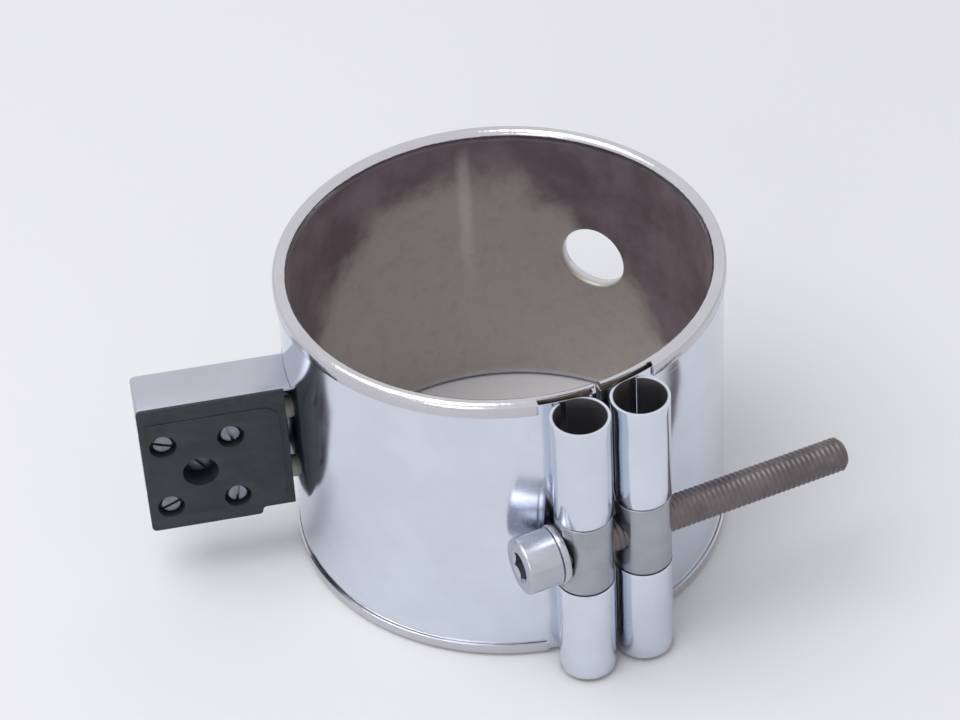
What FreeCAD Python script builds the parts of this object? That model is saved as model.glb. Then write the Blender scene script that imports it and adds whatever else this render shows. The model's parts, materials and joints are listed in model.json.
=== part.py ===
"""Band heater for a round barrel: a split mica heating band with rolled rims, closed by
one cap screw through two cross-drilled barrels, with a terminal box on its side.

Frame: millimetres, +Z along the band's axis, origin at the middle of the bore. The split
and the clamp face -Y, and the screw lies along X with its head towards -X.
A bearing is an angle about +Z, counted from +X.
"""
import FreeCAD, Part
import Sketcher
import math
import os

SIZES = (
    # the band and the layers of its wall
    ("bore_radius", 47.5), ("band_width", 75.0), ("sheath_sheet", 0.5), ("mica_sheet", 0.3),
    ("core_sheet", 0.2), ("ribbon_sheet", 0.12), ("ribbon_room", 0.25), ("layer_gap", 0.05),
    ("strap_gap", 0.15), ("strap_sheet", 0.7), ("hem_gap", 0.1), ("hem_drop", 1.8),
    ("split_gap", 1.0), ("end_hem_reach", 3.5), ("end_hem_inset", 1.1), ("edge_gap", 0.2),
    # the heating ribbon
    ("ribbon_width", 3.2), ("winding_margin", 6.35), ("ribbon_pitch", 10.5),
    ("lead_width", 3.0), ("lead_sheet", 0.15), ("lead_margin", 1.5), ("split_margin", 5.0),
    # the hole through the band
    ("probe_bearing", 38.3), ("probe_rise", 2.8), ("probe_radius", 8.0), ("collar_sheet", 0.6),
    ("collar_flange", 1.6), ("collar_gap", 0.2), ("probe_margin", 3.5),
    # the clamp
    ("knuckle_radius", 6.5), ("knuckle_space", 1.2), ("seam_gap", 0.1), ("clamp_rise", -0.8),
    ("barrel_length", 18.8), ("barrel_gap", 0.4), ("barrel_inset", 0.05), ("journal_gap", 0.08),
    ("journal_length", 9.0), ("barrel_chamfer", 0.4), ("screw_radius", 3.95), ("thread_gap", 0.05),
    ("screw_way_radius", 4.5), ("flat_depth", 0.35), ("flat_radius", 8.6), ("seat_gap", 0.02),
    ("washer_radius", 6.8), ("washer_hole", 4.2), ("washer_thick", 1.6), ("washer_chamfer", 0.25),
    ("head_radius", 6.5), ("head_height", 8.0), ("head_chamfer", 0.7), ("screw_length", 72.0),
    ("screw_chamfer", 0.9), ("hex_flats", 6.0), ("hex_depth", 4.2), ("hex_cone", 1.4),
    # the terminal box
    ("box_bearing", 166.2), ("box_rise", -3.0), ("box_reach", 34.8), ("box_height", 36.0),
    ("box_depth", 12.6), ("box_sheet", 0.8), ("box_bend", 1.2), ("notch_reach", 9.0),
    ("foot_length", 11.0), ("foot_height", 28.0), ("foot_gap", 0.05),
    # the terminal block and what it holds
    ("block_gap", 0.15), ("cover_lip", 0.7), ("block_stand", 1.3), ("neck_step", 2.0),
    ("pad_rise", 0.3), ("pad_margin", 1.6), ("pad_corner", 4.0), ("pad_top_margin", 3.2),
    ("pole_space", 18.1), ("pole_drop", 1.85), ("terminal_space", 15.4), ("terminal_reach", 22.05),
    ("well_radius", 3.1), ("well_depth", 2.25), ("terminal_radius", 2.7), ("terminal_length", 22.4),
    ("terminal_bore", 1.5), ("terminal_gap", 0.05),
    ("clamp_screw_radius", 1.4), ("clamp_screw_head", 2.3), ("clamp_head_height", 1.7),
    ("slot_width", 0.7), ("slot_depth", 0.8), ("fixing_well", 4.1), ("fixing_well_depth", 5.0),
    ("fixing_radius", 1.45), ("fixing_gap", 0.15), ("fixing_head", 2.75), ("fixing_head_height", 1.8),
    ("nut_flats", 5.5), ("nut_height", 2.4), ("fixing_end", 0.8),
    # the leads from the ribbon into the box
    ("pin_radius", 1.1), ("pin_reach", 19.0), ("bush_radius", 2.6), ("bush_bore", 1.25),
    ("bush_reach", 9.6), ("bush_gap", 0.15), ("line_hole_radius", 2.4),
)

doc = FreeCAD.newDocument("band_heater")
sheet = doc.addObject("Spreadsheet::Sheet", "Sizes")
for row, (alias, number) in enumerate(SIZES, start=1):
    sheet.set("A%d" % row, alias.replace("_", " "))
    sheet.set("B%d" % row, str(number))
    sheet.setAlias("B%d" % row, alias)
doc.recompute()


def size(alias):
    """An expression's name for a driving size."""
    return "Sizes." + alias


def amount(expression):
    """The number that an expression over the sheet gives."""
    result = sheet.evalExpression(expression)
    return float(getattr(result, "Value", result))


def plus(*parts):
    return "(" + " + ".join(parts) + ")"


def minus(first, *others):
    return "(" + " - ".join((first,) + others) + ")"


def half(expression):
    return "(" + expression + ") / 2"


# ---- the radii of the layers, from the bore outwards, each from the one before ----
BORE = size("bore_radius")
SHEATH_OUT = plus(BORE, size("sheath_sheet"))
INNER_MICA_IN = plus(SHEATH_OUT, size("layer_gap"))
INNER_MICA_OUT = plus(INNER_MICA_IN, size("mica_sheet"))
CORE_IN = plus(INNER_MICA_OUT, size("ribbon_room"))
CORE_OUT = plus(CORE_IN, size("core_sheet"))
OUTER_MICA_IN = plus(CORE_OUT, size("ribbon_room"))
OUTER_MICA_OUT = plus(OUTER_MICA_IN, size("mica_sheet"))
STRAP_IN = plus(OUTER_MICA_OUT, size("strap_gap"))
STRAP_OUT = plus(STRAP_IN, size("strap_sheet"))
HEM_IN = plus(STRAP_OUT, size("hem_gap"))
HEM_OUT = plus(HEM_IN, size("sheath_sheet"))
END_HEM_IN = plus(OUTER_MICA_OUT, size("layer_gap"))
END_HEM_OUT = plus(END_HEM_IN, size("sheath_sheet"))

# ---- the rolled rim: a half circle over the wall, and the hem that drops behind it ----
RIM_RADIUS = half(minus(HEM_OUT, BORE))
RIM_CENTRE = half(plus(HEM_OUT, BORE))
RIM_RISE = minus(half(size("band_width")), RIM_RADIUS)
RIM_HOLLOW = minus(RIM_RADIUS, size("sheath_sheet"))
RIM_TOP = half(size("band_width"))
HEM_LOW = minus(RIM_RISE, size("hem_drop"))
STRAP_RISE = "(%s + sqrt(%s ^ 2 - (%s) ^ 2) - %s)" % (
    RIM_RISE, RIM_HOLLOW, minus(STRAP_OUT, RIM_CENTRE), size("seam_gap"))
LAYER_RISE = minus(RIM_RISE, size("edge_gap"))

# ---- the knuckles: rolled so that the strap's inner face becomes their outer face ----
KNUCKLE = size("knuckle_radius")
KNUCKLE_IN = minus(KNUCKLE, size("strap_sheet"))
BARREL_X = plus(KNUCKLE, half(size("knuckle_space")))
BARREL_REACH = plus(STRAP_IN, KNUCKLE)
BARREL_Y = "(-sqrt(%s ^ 2 - %s ^ 2))" % (BARREL_REACH, BARREL_X)
BARREL_RADIUS = minus(KNUCKLE, size("barrel_inset"))
JOURNAL_RADIUS = minus(KNUCKLE_IN, size("journal_gap"))
WINDOW_HEIGHT = plus(size("barrel_length"), "2 * " + size("barrel_gap"))
FLAT_X = minus(BARREL_RADIUS, size("flat_depth"))
SEAT_X = "(-%s - %s - %s - 2 * %s)" % (BARREL_X, FLAT_X, size("washer_thick"), size("seat_gap"))

# ---- the terminal box, in its own frame: X out from the band, Y to the open face ----
BOX_END = plus(STRAP_OUT, size("box_reach"))
BOX_FRONT = half(size("box_depth"))
BOX_TOP = half(size("box_height"))
NOTCH_X = plus(STRAP_OUT, size("notch_reach"))
BLOCK_START = plus(STRAP_OUT, size("block_stand"))
BLOCK_END = minus(BOX_END, size("box_sheet"), size("block_gap"))
BLOCK_TOP = minus(BOX_TOP, size("box_sheet"), size("block_gap"))
BLOCK_FRONT = plus(BOX_FRONT, size("cover_lip"))
BLOCK_BACK = "(-%s + %s)" % (BOX_FRONT, size("box_sheet"))
TERMINAL_X = plus(STRAP_OUT, size("terminal_reach"))
POLE_TOP = minus(half(size("pole_space")), size("pole_drop"))
POLE_LOW = "(-%s - %s)" % (half(size("pole_space")), size("pole_drop"))
WELL_FLOOR = minus(BLOCK_FRONT, size("well_depth"))

LEAD_IN = plus(CORE_OUT, size("layer_gap"))
LEAD_OUT = plus(LEAD_IN, size("lead_sheet"))
WINDING_RISE = minus(RIM_RISE, size("winding_margin"))
LEAD_RISE = plus(WINDING_RISE, size("lead_margin"))


def at(x="0", y="0", z="0", yaw="0", pitch="0", roll="0"):
    """A placement written as an expression, from a point and three turns."""
    return "placement(vector(%s; %s; %s); rotation(%s; %s; %s))" % (x, y, z, yaw, pitch, roll)


def bind(item, **expressions):
    """Tie an object's properties to expressions over the sheet."""
    for name, expression in expressions.items():
        item.setExpression(name, expression)
    return item


def cylinder(name, radius, height, place, angle=None):
    made = bind(doc.addObject("Part::Cylinder", name), Radius=radius, Height=height, Placement=place)
    if angle:
        made.setExpression("Angle", angle)
    return made


def box(name, x_range, y_range, z_range):
    """A block between pairs of expressions."""
    low = [pair[0] for pair in (x_range, y_range, z_range)]
    spans = [minus(pair[1], pair[0]) for pair in (x_range, y_range, z_range)]
    return bind(doc.addObject("Part::Box", name), Length=spans[0], Width=spans[1],
                Height=spans[2], Placement=at(*low))


def radial(name, radius, inner, outer, bearing, rise):
    """A round bar that points out from the band's axis, between two distances from it."""
    place = at("%s * cos(%s)" % (inner, bearing), "%s * sin(%s)" % (inner, bearing), rise,
               bearing, "90")
    return cylinder(name, radius, minus(outer, inner), place)


def crossbar(name, radius, start, end, x, z):
    """A round bar along the box's Y, from start to end."""
    return cylinder(name, radius, minus(end, start), at(x, start, z, "0", "0", "-90"))


def lengthwise(name, radius, start, end, y, z):
    """A round bar along the box's X, from start to end."""
    return cylinder(name, radius, minus(end, start), at(start, y, z, "0", "90"))


def cut(name, base, tool):
    made = doc.addObject("Part::Cut", name)
    made.Base = base
    made.Tool = tool
    return made


def fuse(name, pieces):
    made = doc.addObject("Part::MultiFuse", name)
    made.Shapes = pieces
    return made


def common(name, pieces):
    made = doc.addObject("Part::MultiCommon", name)
    made.Shapes = pieces
    return made


def group(name, pieces):
    """Several separate solids in one sub-part."""
    made = doc.addObject("Part::Compound", name)
    made.Links = pieces
    return made


def ring(name, inner, outer, rise, place=None, angle=None):
    """A tube about the band's axis from -rise to +rise, or a sector of it."""
    place = place or at(z="-" + rise)
    height = "2 * " + rise
    return cut(name, cylinder(name + "_outside", outer, height, place, angle),
               cylinder(name + "_inside", inner, height, place, angle))


def origin_plane(body, role):
    return [item for item in body.Origin.OriginFeatures if item.Role == role][0]


def new_sketch(body, name, role, offset=None):
    """A sketch on one of its body's origin planes, moved along the normal by offset."""
    sketch = body.newObject("Sketcher::SketchObject", name)
    sketch.AttachmentSupport = [(origin_plane(body, role), "")]
    sketch.MapMode = "FlatFace"
    if offset:
        sketch.setExpression("AttachmentOffset.Base.z", offset)
    return sketch


def draw(sketch, corners, arcs=None):
    """Draw a closed outline through corners, which are pairs of expressions. arcs maps the
    number of an edge to its arc's centre and turn: +1 anticlockwise, -1 clockwise."""
    arcs = arcs or {}
    points = [FreeCAD.Vector(amount(x), amount(y), 0) for x, y in corners]
    ends = []
    for edge, start in enumerate(points):
        end = points[(edge + 1) % len(points)]
        if edge not in arcs:
            ends.append((sketch.addGeometry(Part.LineSegment(start, end), False), 1, 2))
            continue
        centre_x, centre_y, turn = arcs[edge]
        centre = FreeCAD.Vector(amount(centre_x), amount(centre_y), 0)
        first, last = (start, end) if turn > 0 else (end, start)
        angles = [math.atan2(point.y - centre.y, point.x - centre.x) for point in (first, last)]
        if angles[1] <= angles[0]:
            angles[1] += 2 * math.pi
        circle = Part.Circle(centre, FreeCAD.Vector(0, 0, 1), (start - centre).Length)
        drawn = sketch.addGeometry(Part.ArcOfCircle(circle, *angles), False)
        ends.append((drawn, 1, 2) if turn > 0 else (drawn, 2, 1))
        across = abs(end.x - start.x) > abs(end.y - start.y)
        kind, expression = ("DistanceY", centre_y) if across else ("DistanceX", centre_x)
        pin_down(sketch, kind, drawn, 3, expression)
    for edge, (drawn, first, last) in enumerate(ends):
        following, following_first, _ = ends[(edge + 1) % len(ends)]
        sketch.addConstraint(Sketcher.Constraint("Coincident", drawn, last,
                                                 following, following_first))
        pin_down(sketch, "DistanceX", drawn, first, corners[edge][0])
        pin_down(sketch, "DistanceY", drawn, first, corners[edge][1])


def draw_circle(sketch, x, y, radius):
    centre = FreeCAD.Vector(amount(x), amount(y), 0)
    drawn = sketch.addGeometry(Part.Circle(centre, FreeCAD.Vector(0, 0, 1), amount(radius)), False)
    pin_down(sketch, "DistanceX", drawn, 3, x)
    pin_down(sketch, "DistanceY", drawn, 3, y)
    constraint = sketch.addConstraint(Sketcher.Constraint("Radius", drawn, amount(radius)))
    sketch.setExpression("Constraints[%d]" % constraint, radius)


def pin_down(sketch, kind, drawn, point, expression):
    """Hold a point of the drawing at a distance from the sketch's origin."""
    value = amount(expression)
    constraint = sketch.addConstraint(Sketcher.Constraint(kind, -1, 1, drawn, point, value))
    sketch.setExpression("Constraints[%d]" % constraint, expression)


def rectangle(sketch, left, right, low, high):
    draw(sketch, [(left, low), (right, low), (right, high), (left, high)])


def new_body(name):
    return doc.addObject("PartDesign::Body", name)


def revolve(body, name, sketch):
    made = body.newObject("PartDesign::Revolution", name)
    made.Profile = sketch
    made.ReferenceAxis = (sketch, ["V_Axis"])
    made.Angle = 360
    return made


def pad(body, name, sketch, length, symmetric=False, reversed_way=False):
    made = body.newObject("PartDesign::Pad", name)
    made.Profile = sketch
    made.setExpression("Length", length)
    made.SideType = "Symmetric" if symmetric else "One side"
    made.Reversed = reversed_way
    return made


def pocket(body, name, sketch, length, symmetric=False, reversed_way=False):
    made = body.newObject("PartDesign::Pocket", name)
    made.Profile = sketch
    made.setExpression("Length", length)
    made.SideType = "Symmetric" if symmetric else "One side"
    made.Reversed = reversed_way
    return made


def on_circle(radius, x):
    """The Y, on the split's side, of the point of a circle about the axis that lies at x."""
    return "(-sqrt((%s) ^ 2 - (%s) ^ 2))" % (radius, x)


PARTS = {}


def keep(name, item, place=None):
    """Name a finished sub-part, and put it in its place."""
    item.Label = name
    if place:
        item.setExpression("Placement", place)
    PARTS[name] = item


ON_BAND = at(z=size("box_rise"), yaw=size("box_bearing"))


# ---------------------------------------------------------------- the band
def make_inner_sheath():
    """One sheet: the bore wall, rolled over at both rims and hemmed behind, closed at the
    split by narrow end hems, with the probe hole's edge drawn out as a flanged collar."""
    body = new_body("sheath_wall")
    profile = new_sketch(body, "sheath_profile", "XZ_Plane")
    low = lambda rise: "-" + rise
    corners = [(BORE, low(RIM_RISE)), (HEM_OUT, low(RIM_RISE)), (HEM_OUT, low(HEM_LOW)),
               (HEM_IN, low(HEM_LOW)), (HEM_IN, low(RIM_RISE)), (SHEATH_OUT, low(RIM_RISE)),
               (SHEATH_OUT, RIM_RISE), (HEM_IN, RIM_RISE), (HEM_IN, HEM_LOW),
               (HEM_OUT, HEM_LOW), (HEM_OUT, RIM_RISE), (BORE, RIM_RISE)]
    arcs = {0: (RIM_CENTRE, low(RIM_RISE), 1), 4: (RIM_CENTRE, low(RIM_RISE), -1),
            6: (RIM_CENTRE, RIM_RISE, -1), 10: (RIM_CENTRE, RIM_RISE, 1)}
    draw(profile, corners, arcs)
    revolve(body, "sheath_rolled", profile)

    relief = new_sketch(body, "relief_outline", "XY_Plane")
    relief_x = plus(BARREL_X, KNUCKLE)
    inside = minus(STRAP_IN, size("layer_gap"))
    far = plus(HEM_OUT, "1")
    draw(relief, [("-" + relief_x, on_circle(inside, relief_x)),
                  (relief_x, on_circle(inside, relief_x)),
                  (relief_x, on_circle(far, relief_x)),
                  ("-" + relief_x, on_circle(far, relief_x))],
         {0: ("0", "0", 1), 2: ("0", "0", -1)})
    pocket(body, "rim_relief", relief, plus(size("band_width"), "2"), symmetric=True)

    end_hem = new_sketch(body, "end_hem_outline", "XY_Plane")
    lip = half(size("split_gap"))
    lip_back = plus(lip, size("sheath_sheet"))
    root = minus(SHEATH_OUT, half(size("sheath_sheet")))
    reach = size("end_hem_reach")
    draw(end_hem, [(lip, on_circle(END_HEM_OUT, lip)), (reach, on_circle(END_HEM_OUT, reach)),
                   (reach, on_circle(END_HEM_IN, reach)),
                   (lip_back, on_circle(END_HEM_IN, lip_back)),
                   (lip_back, on_circle(root, lip_back)), (lip, on_circle(root, lip))],
         {0: ("0", "0", 1), 2: ("0", "0", -1)})
    first = pad(body, "right_end_hem", end_hem,
                "2 * " + minus(RIM_TOP, size("end_hem_inset")), symmetric=True)
    mirrored = body.newObject("PartDesign::Mirrored", "left_end_hem")
    mirrored.Originals = [first]
    mirrored.MirrorPlane = (origin_plane(body, "YZ_Plane"), [""])
    body.Tip = mirrored

    split = new_sketch(body, "split_outline", "XY_Plane")
    rectangle(split, "-" + lip, lip, "-" + plus(HEM_OUT, "2"), "-" + minus(BORE, "2"))
    pocket(body, "split", split, plus(size("band_width"), "2"), symmetric=True)

    bearing, rise = size("probe_bearing"), size("probe_rise")
    collar_out = plus(size("probe_radius"), size("collar_sheet"))
    flange_in = plus(STRAP_OUT, size("layer_gap"))
    flange_out = plus(flange_in, size("sheath_sheet"))
    near, beyond = minus(BORE, "3"), plus(HEM_OUT, "3")
    tube = common("collar_tube", [
        radial("collar_bar", collar_out, near, beyond, bearing, rise),
        ring("collar_shell", BORE, flange_out, RIM_RISE)])
    flange = common("collar_flange_ring", [
        radial("flange_bar", plus(collar_out, size("collar_flange")), near, beyond, bearing, rise),
        ring("flange_shell", flange_in, flange_out, RIM_RISE)])
    solid = fuse("sheath_with_collar", [body, tube, flange])
    hole = radial("probe_hole", size("probe_radius"), minus(BORE, "6"), beyond, bearing, rise)
    keep("inner_sheath", cut("inner_sheath_cut", solid, hole))


def layer(name, inner, outer, rise, bushes=True):
    """A curved mica sheet in the wall, open at the split and cleared round the probe hole
    and, outside the core, round the leads' bushes."""
    sheet_ring = ring(name + "_ring", inner, outer, rise)
    split_half = plus(half(size("split_gap")), size("sheath_sheet"), size("edge_gap"))
    tools = [box(name + "_split", ("-" + split_half, split_half),
                 ("-" + plus(HEM_OUT, "2"), "-" + minus(BORE, "2")), ("-" + RIM_TOP, RIM_TOP)),
             radial(name + "_probe", plus(size("probe_radius"), size("collar_sheet"),
                                          size("collar_gap")),
                    minus(BORE, "6"), plus(HEM_OUT, "3"), size("probe_bearing"),
                    size("probe_rise"))]
    if bushes:
        tools += bush_ways(name)
    keep(name, cut(name + "_cut", sheet_ring, fuse(name + "_tools", tools)))


def bush_ways(name):
    """The two round holes that the leads' bushes pass through."""
    return [radial("%s_way_%d" % (name, number), plus(size("bush_radius"), size("bush_gap")),
                   minus(BORE, "-1.2"), plus(HEM_OUT, "3"), size("box_bearing"),
                   plus(size("box_rise"), pole))
            for number, pole in enumerate((POLE_TOP, POLE_LOW))]


def wound_turns():
    """The bearings at which the ribbon's turns start, and where each one ends."""
    step = amount(size("ribbon_pitch"))
    margin = amount(size("split_margin"))
    wall = amount(CORE_OUT)
    box_half = math.degrees((amount(size("lead_width")) / 2 + amount(size("ribbon_width"))) / wall)
    probe_span = amount(size("probe_radius")) + amount(size("probe_margin"))
    probe_half = math.degrees(probe_span / wall)
    barred = [(amount(size("box_bearing")) - 360, box_half),
              (amount(size("probe_bearing")) - 360, probe_half)]
    bearing, last = -90 - margin, -450 + margin
    turns = []
    while bearing - step >= last:
        blocked = [centre - reach for centre, reach in barred
                   if bearing > centre - reach and bearing - step < centre + reach]
        if blocked:
            bearing = min(blocked) - 0.1
            continue
        turns.append((bearing, bearing - step))
        bearing -= step
    return turns


def polar(radius, bearing, height, aside=0.0):
    """A point at a bearing, moved aside along the tangent."""
    angle = math.radians(bearing)
    return FreeCAD.Vector(radius * math.cos(angle) - aside * math.sin(angle),
                          radius * math.sin(angle) + aside * math.cos(angle), height)


def ribbon_run(inner, start, end, low, high):
    """A flat strip up the core, from one bearing at its foot to another at its head."""
    width, thick = amount(size("ribbon_width")) / 2, amount(size("ribbon_sheet"))
    sections = []
    for share in (0.0, 0.5, 1.0):
        bearing = start + (end - start) * share
        height = low + (high - low) * share
        corners = [polar(inner, bearing, height, -width), polar(inner, bearing, height, width),
                   polar(inner + thick, bearing, height, width),
                   polar(inner + thick, bearing, height, -width)]
        sections.append(Part.makePolygon(corners + corners[:1]))
    return Part.makeLoft(sections, True, True)


def sector(inner, outer, low, high, start, end):
    """A curved strip about the axis, from one bearing to a smaller one."""
    shapes = [Part.makeCylinder(radius, high - low, FreeCAD.Vector(0, 0, low),
                                FreeCAD.Vector(0, 0, 1), start - end) for radius in (outer, inner)]
    strip = shapes[0].cut(shapes[1])
    strip.rotate(FreeCAD.Vector(0, 0, 0), FreeCAD.Vector(0, 0, 1), end)
    return strip


def make_ribbon():
    """One flat resistance ribbon wound round the mica core: up its outside, down its
    inside, folded over its edges, and led past the holes along the core's inside."""
    thick, gap = amount(size("ribbon_sheet")), amount(size("layer_gap"))
    high = amount(WINDING_RISE)
    inner = amount(CORE_IN) - gap - thick - gap
    outer = amount(CORE_OUT) + gap - 0.02
    fold = 2 * thick
    turns = wound_turns()
    half_strip = amount(size("ribbon_width")) / 2
    half_width = math.degrees(half_strip / amount(CORE_OUT))
    pieces = []
    for number, (start, end) in enumerate(turns):
        middle = (start + end) / 2
        pieces.append(ribbon_run(outer, start, middle, -high, high))
        pieces.append(ribbon_run(inner, end, middle, -high, high))
        pieces.append(sector(inner, outer + thick, high, high + fold,
                             middle + half_width, middle - half_width))
        onward = turns[number + 1][0] if number + 1 < len(turns) else end
        if onward < end:
            pieces.append(sector(inner + gap / 2, inner + thick + gap / 2, -high - fold / 2,
                                 -high + 2 * half_strip, end + half_width / 2,
                                 onward - half_width / 2))
        pieces.append(sector(inner, outer + thick, -high - fold, -high,
                             onward + half_width, onward - half_width))
    pieces.append(sector(inner, outer + thick, -high - fold, -high,
                         turns[0][0] + half_width, turns[0][0] - half_width))
    wound = pieces[0].multiFuse(pieces[1:])
    if len(wound.Solids) != 1:
        raise RuntimeError("the ribbon isn't one strip")
    ribbon = doc.addObject("Part::Feature", "ribbon")
    ribbon.Shape = wound
    keep("heating_ribbon", ribbon)
    return turns


def make_core():
    """The mica strip that the ribbon is wound on."""
    layer("mica_core", CORE_IN, CORE_OUT,
          minus(WINDING_RISE, size("layer_gap")), bushes=False)


def make_lead(name, side, start, end, rise_sign, pole):
    """A nickel lead: a strip along the band's margin from the ribbon's end, a tail across
    the wall at the box, and a pin out through the wall into the terminal."""
    low = "%s%s" % (rise_sign, plus(LEAD_RISE, size("lead_width")) if rise_sign else LEAD_RISE)
    strip_height = size("lead_width")
    span = minus(start, end)
    place = at(z=low, yaw=end)
    strip = cut(name + "_strip",
                cylinder(name + "_strip_outside", LEAD_OUT, strip_height, place, span),
                cylinder(name + "_strip_inside", LEAD_IN, strip_height, place, span))
    width = half(size("lead_width"))
    half_angle = "(%s / %s * 180 / pi)" % (width, LEAD_IN)
    pole_height = plus(size("box_rise"), pole)
    overlap = half(size("lead_width"))
    if rise_sign:
        tail_low, tail_span = low, minus(pole_height, low)
    else:
        tail_low, tail_span = pole_height, minus(plus(low, overlap), pole_height)
    tail_place = at(z=tail_low, yaw=minus(size("box_bearing"), half_angle))
    tail = cut(name + "_tail",
               cylinder(name + "_tail_outside", LEAD_OUT, tail_span, tail_place, "2 * " + half_angle),
               cylinder(name + "_tail_inside", LEAD_IN, tail_span, tail_place, "2 * " + half_angle))
    leg_yaw = minus(start, "2 * " + half_angle) if side > 0 else end
    fold = plus(WINDING_RISE, "2 * " + size("ribbon_sheet"))
    middle = plus(low, overlap)
    leg_low, leg_span = (middle, minus("-" + fold, middle)) if rise_sign else (
        fold, minus(middle, fold))
    leg_place = at(z=leg_low, yaw=leg_yaw)
    leg = cut(name + "_leg",
              cylinder(name + "_leg_outside", LEAD_OUT, leg_span, leg_place, "2 * " + half_angle),
              cylinder(name + "_leg_inside", LEAD_IN, leg_span, leg_place, "2 * " + half_angle))
    pin = radial(name + "_pin", size("pin_radius"), LEAD_IN,
                 plus(STRAP_OUT, size("pin_reach")), size("box_bearing"), pole_height)
    keep(name, fuse(name + "_welded", [strip, tail, leg, pin]))


def make_leads(turns):
    """The upper lead joins the winding's first fold, the lower lead its last."""
    step = math.degrees(amount(size("lead_width")) / amount(LEAD_IN))
    first = turns[0][0] - amount(size("ribbon_pitch")) / 2 + step / 2 + 360
    last = turns[-1][1] + 360 - step / 2
    box_end = size("box_bearing")
    make_lead("upper_lead", 1, str(first), box_end, "", POLE_TOP)
    make_lead("lower_lead", -1, box_end, str(last), "-", POLE_LOW)


# ---------------------------------------------------------------- the clamp
def make_strap():
    """The outer strap: a wide sheet round the heater, tucked under both rims. Its two ends
    are rolled into full-width knuckles, with a window cut in each for the barrel."""
    body = new_body("strap")
    outline = new_sketch(body, "strap_outline", "XY_Plane")
    closing = "(acos((%s ^ 2 + %s ^ 2 - %s ^ 2) / (2 * %s * %s)) / 1 deg)" % (
        BARREL_REACH, KNUCKLE, plus(STRAP_OUT, size("seam_gap")), BARREL_REACH, KNUCKLE)
    lean = "(asin(%s / %s) / 1 deg)" % (BARREL_X, BARREL_REACH)
    end_turn = "(90 + %s - %s)" % (lean, closing)

    def on_line(radius, sign):
        return ("%s%s * sin(%s)" % (sign, radius, lean), "-%s * cos(%s)" % (radius, lean))

    def on_knuckle(radius, sign):
        return ("%s(%s + %s * cos(%s))" % (sign, BARREL_X, radius, end_turn),
                "(%s + %s * sin(%s))" % (BARREL_Y, radius, end_turn))

    corners = [on_line(STRAP_OUT, ""), on_line(STRAP_OUT, "-"), on_knuckle(KNUCKLE_IN, "-"),
               on_knuckle(KNUCKLE, "-"), on_line(STRAP_IN, "-"), on_line(STRAP_IN, ""),
               on_knuckle(KNUCKLE, ""), on_knuckle(KNUCKLE_IN, "")]
    left = ("-" + BARREL_X, BARREL_Y)
    right = (BARREL_X, BARREL_Y)
    arcs = {0: ("0", "0", 1), 1: left + (-1,), 3: left + (1,), 4: ("0", "0", -1),
            5: right + (1,), 7: right + (-1,)}
    draw(outline, corners, arcs)
    pad(body, "strap_rolled", outline, "2 * " + STRAP_RISE, symmetric=True)

    window = new_sketch(body, "window_outline", "XY_Plane", offset=size("clamp_rise"))
    side = plus(BARREL_X, KNUCKLE, size("knuckle_space"))
    meeting = "(acos((%s ^ 2 + %s ^ 2 - %s ^ 2) / (2 * %s * %s)) / 1 deg)" % (
        BARREL_REACH, STRAP_OUT, plus(KNUCKLE, size("barrel_gap")), BARREL_REACH, STRAP_OUT)
    edge = "(%s * sin(%s + %s))" % (STRAP_OUT, lean, meeting)
    shoulder = minus(on_circle(STRAP_OUT, edge), half(size("barrel_gap")))
    behind, before = "-" + minus(BORE, "2"), minus(BARREL_Y, "2 * " + KNUCKLE)
    draw(window, [("-" + edge, behind), ("-" + edge, shoulder), ("-" + side, shoulder),
                  ("-" + side, before), (side, before), (side, shoulder), (edge, shoulder),
                  (edge, behind)])
    pocket(body, "barrel_window", window, WINDOW_HEIGHT, symmetric=True)

    probe = radial("strap_probe", plus(size("probe_radius"), size("collar_sheet"),
                                       size("collar_gap")),
                   minus(BORE, "6"), plus(HEM_OUT, "3"), size("probe_bearing"),
                   size("probe_rise"))
    keep("clamp_strap", cut("strap_cut", body, fuse("strap_tools", [probe] + bush_ways("strap"))))


def make_barrel(name, side, way_radius, flat):
    """A turned trunnion: a thick middle in the strap's window, thin journals in the
    knuckles, and a hole straight through for the screw."""
    body = new_body(name + "_turned")
    profile = new_sketch(body, name + "_profile", "XZ_Plane")
    middle = half(size("barrel_length"))
    end = plus(middle, size("journal_length"))
    bevel = size("barrel_chamfer")
    draw(profile, [("0", "-" + end), (minus(JOURNAL_RADIUS, bevel), "-" + end),
                   (JOURNAL_RADIUS, minus("-" + end, "-" + bevel)), (JOURNAL_RADIUS, "-" + middle),
                   (BARREL_RADIUS, "-" + middle), (BARREL_RADIUS, middle),
                   (JOURNAL_RADIUS, middle), (JOURNAL_RADIUS, minus(end, bevel)),
                   (minus(JOURNAL_RADIUS, bevel), end), ("0", end)])
    revolve(body, name + "_blank", profile)
    way = new_sketch(body, name + "_way_circle", "YZ_Plane")
    draw_circle(way, "0", "0", way_radius)
    pocket(body, name + "_way", way, "4 * " + KNUCKLE, symmetric=True)
    if flat:
        face = new_sketch(body, name + "_flat_circle", "YZ_Plane", offset="-" + FLAT_X)
        draw_circle(face, "0", "0", size("flat_radius"))
        pocket(body, name + "_flat", face, KNUCKLE)
    keep(name, body, at("%s%s" % (side, BARREL_X), BARREL_Y, size("clamp_rise")))


def hexagon(sketch, flats):
    """A regular hexagon about the sketch's origin, by the distance across its flats."""
    reach = "%s / (2 * cos(30))" % flats
    draw(sketch, [("%s * cos(%d)" % (reach, turn), "%s * sin(%d)" % (reach, turn))
                  for turn in range(0, 360, 60)])


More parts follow.
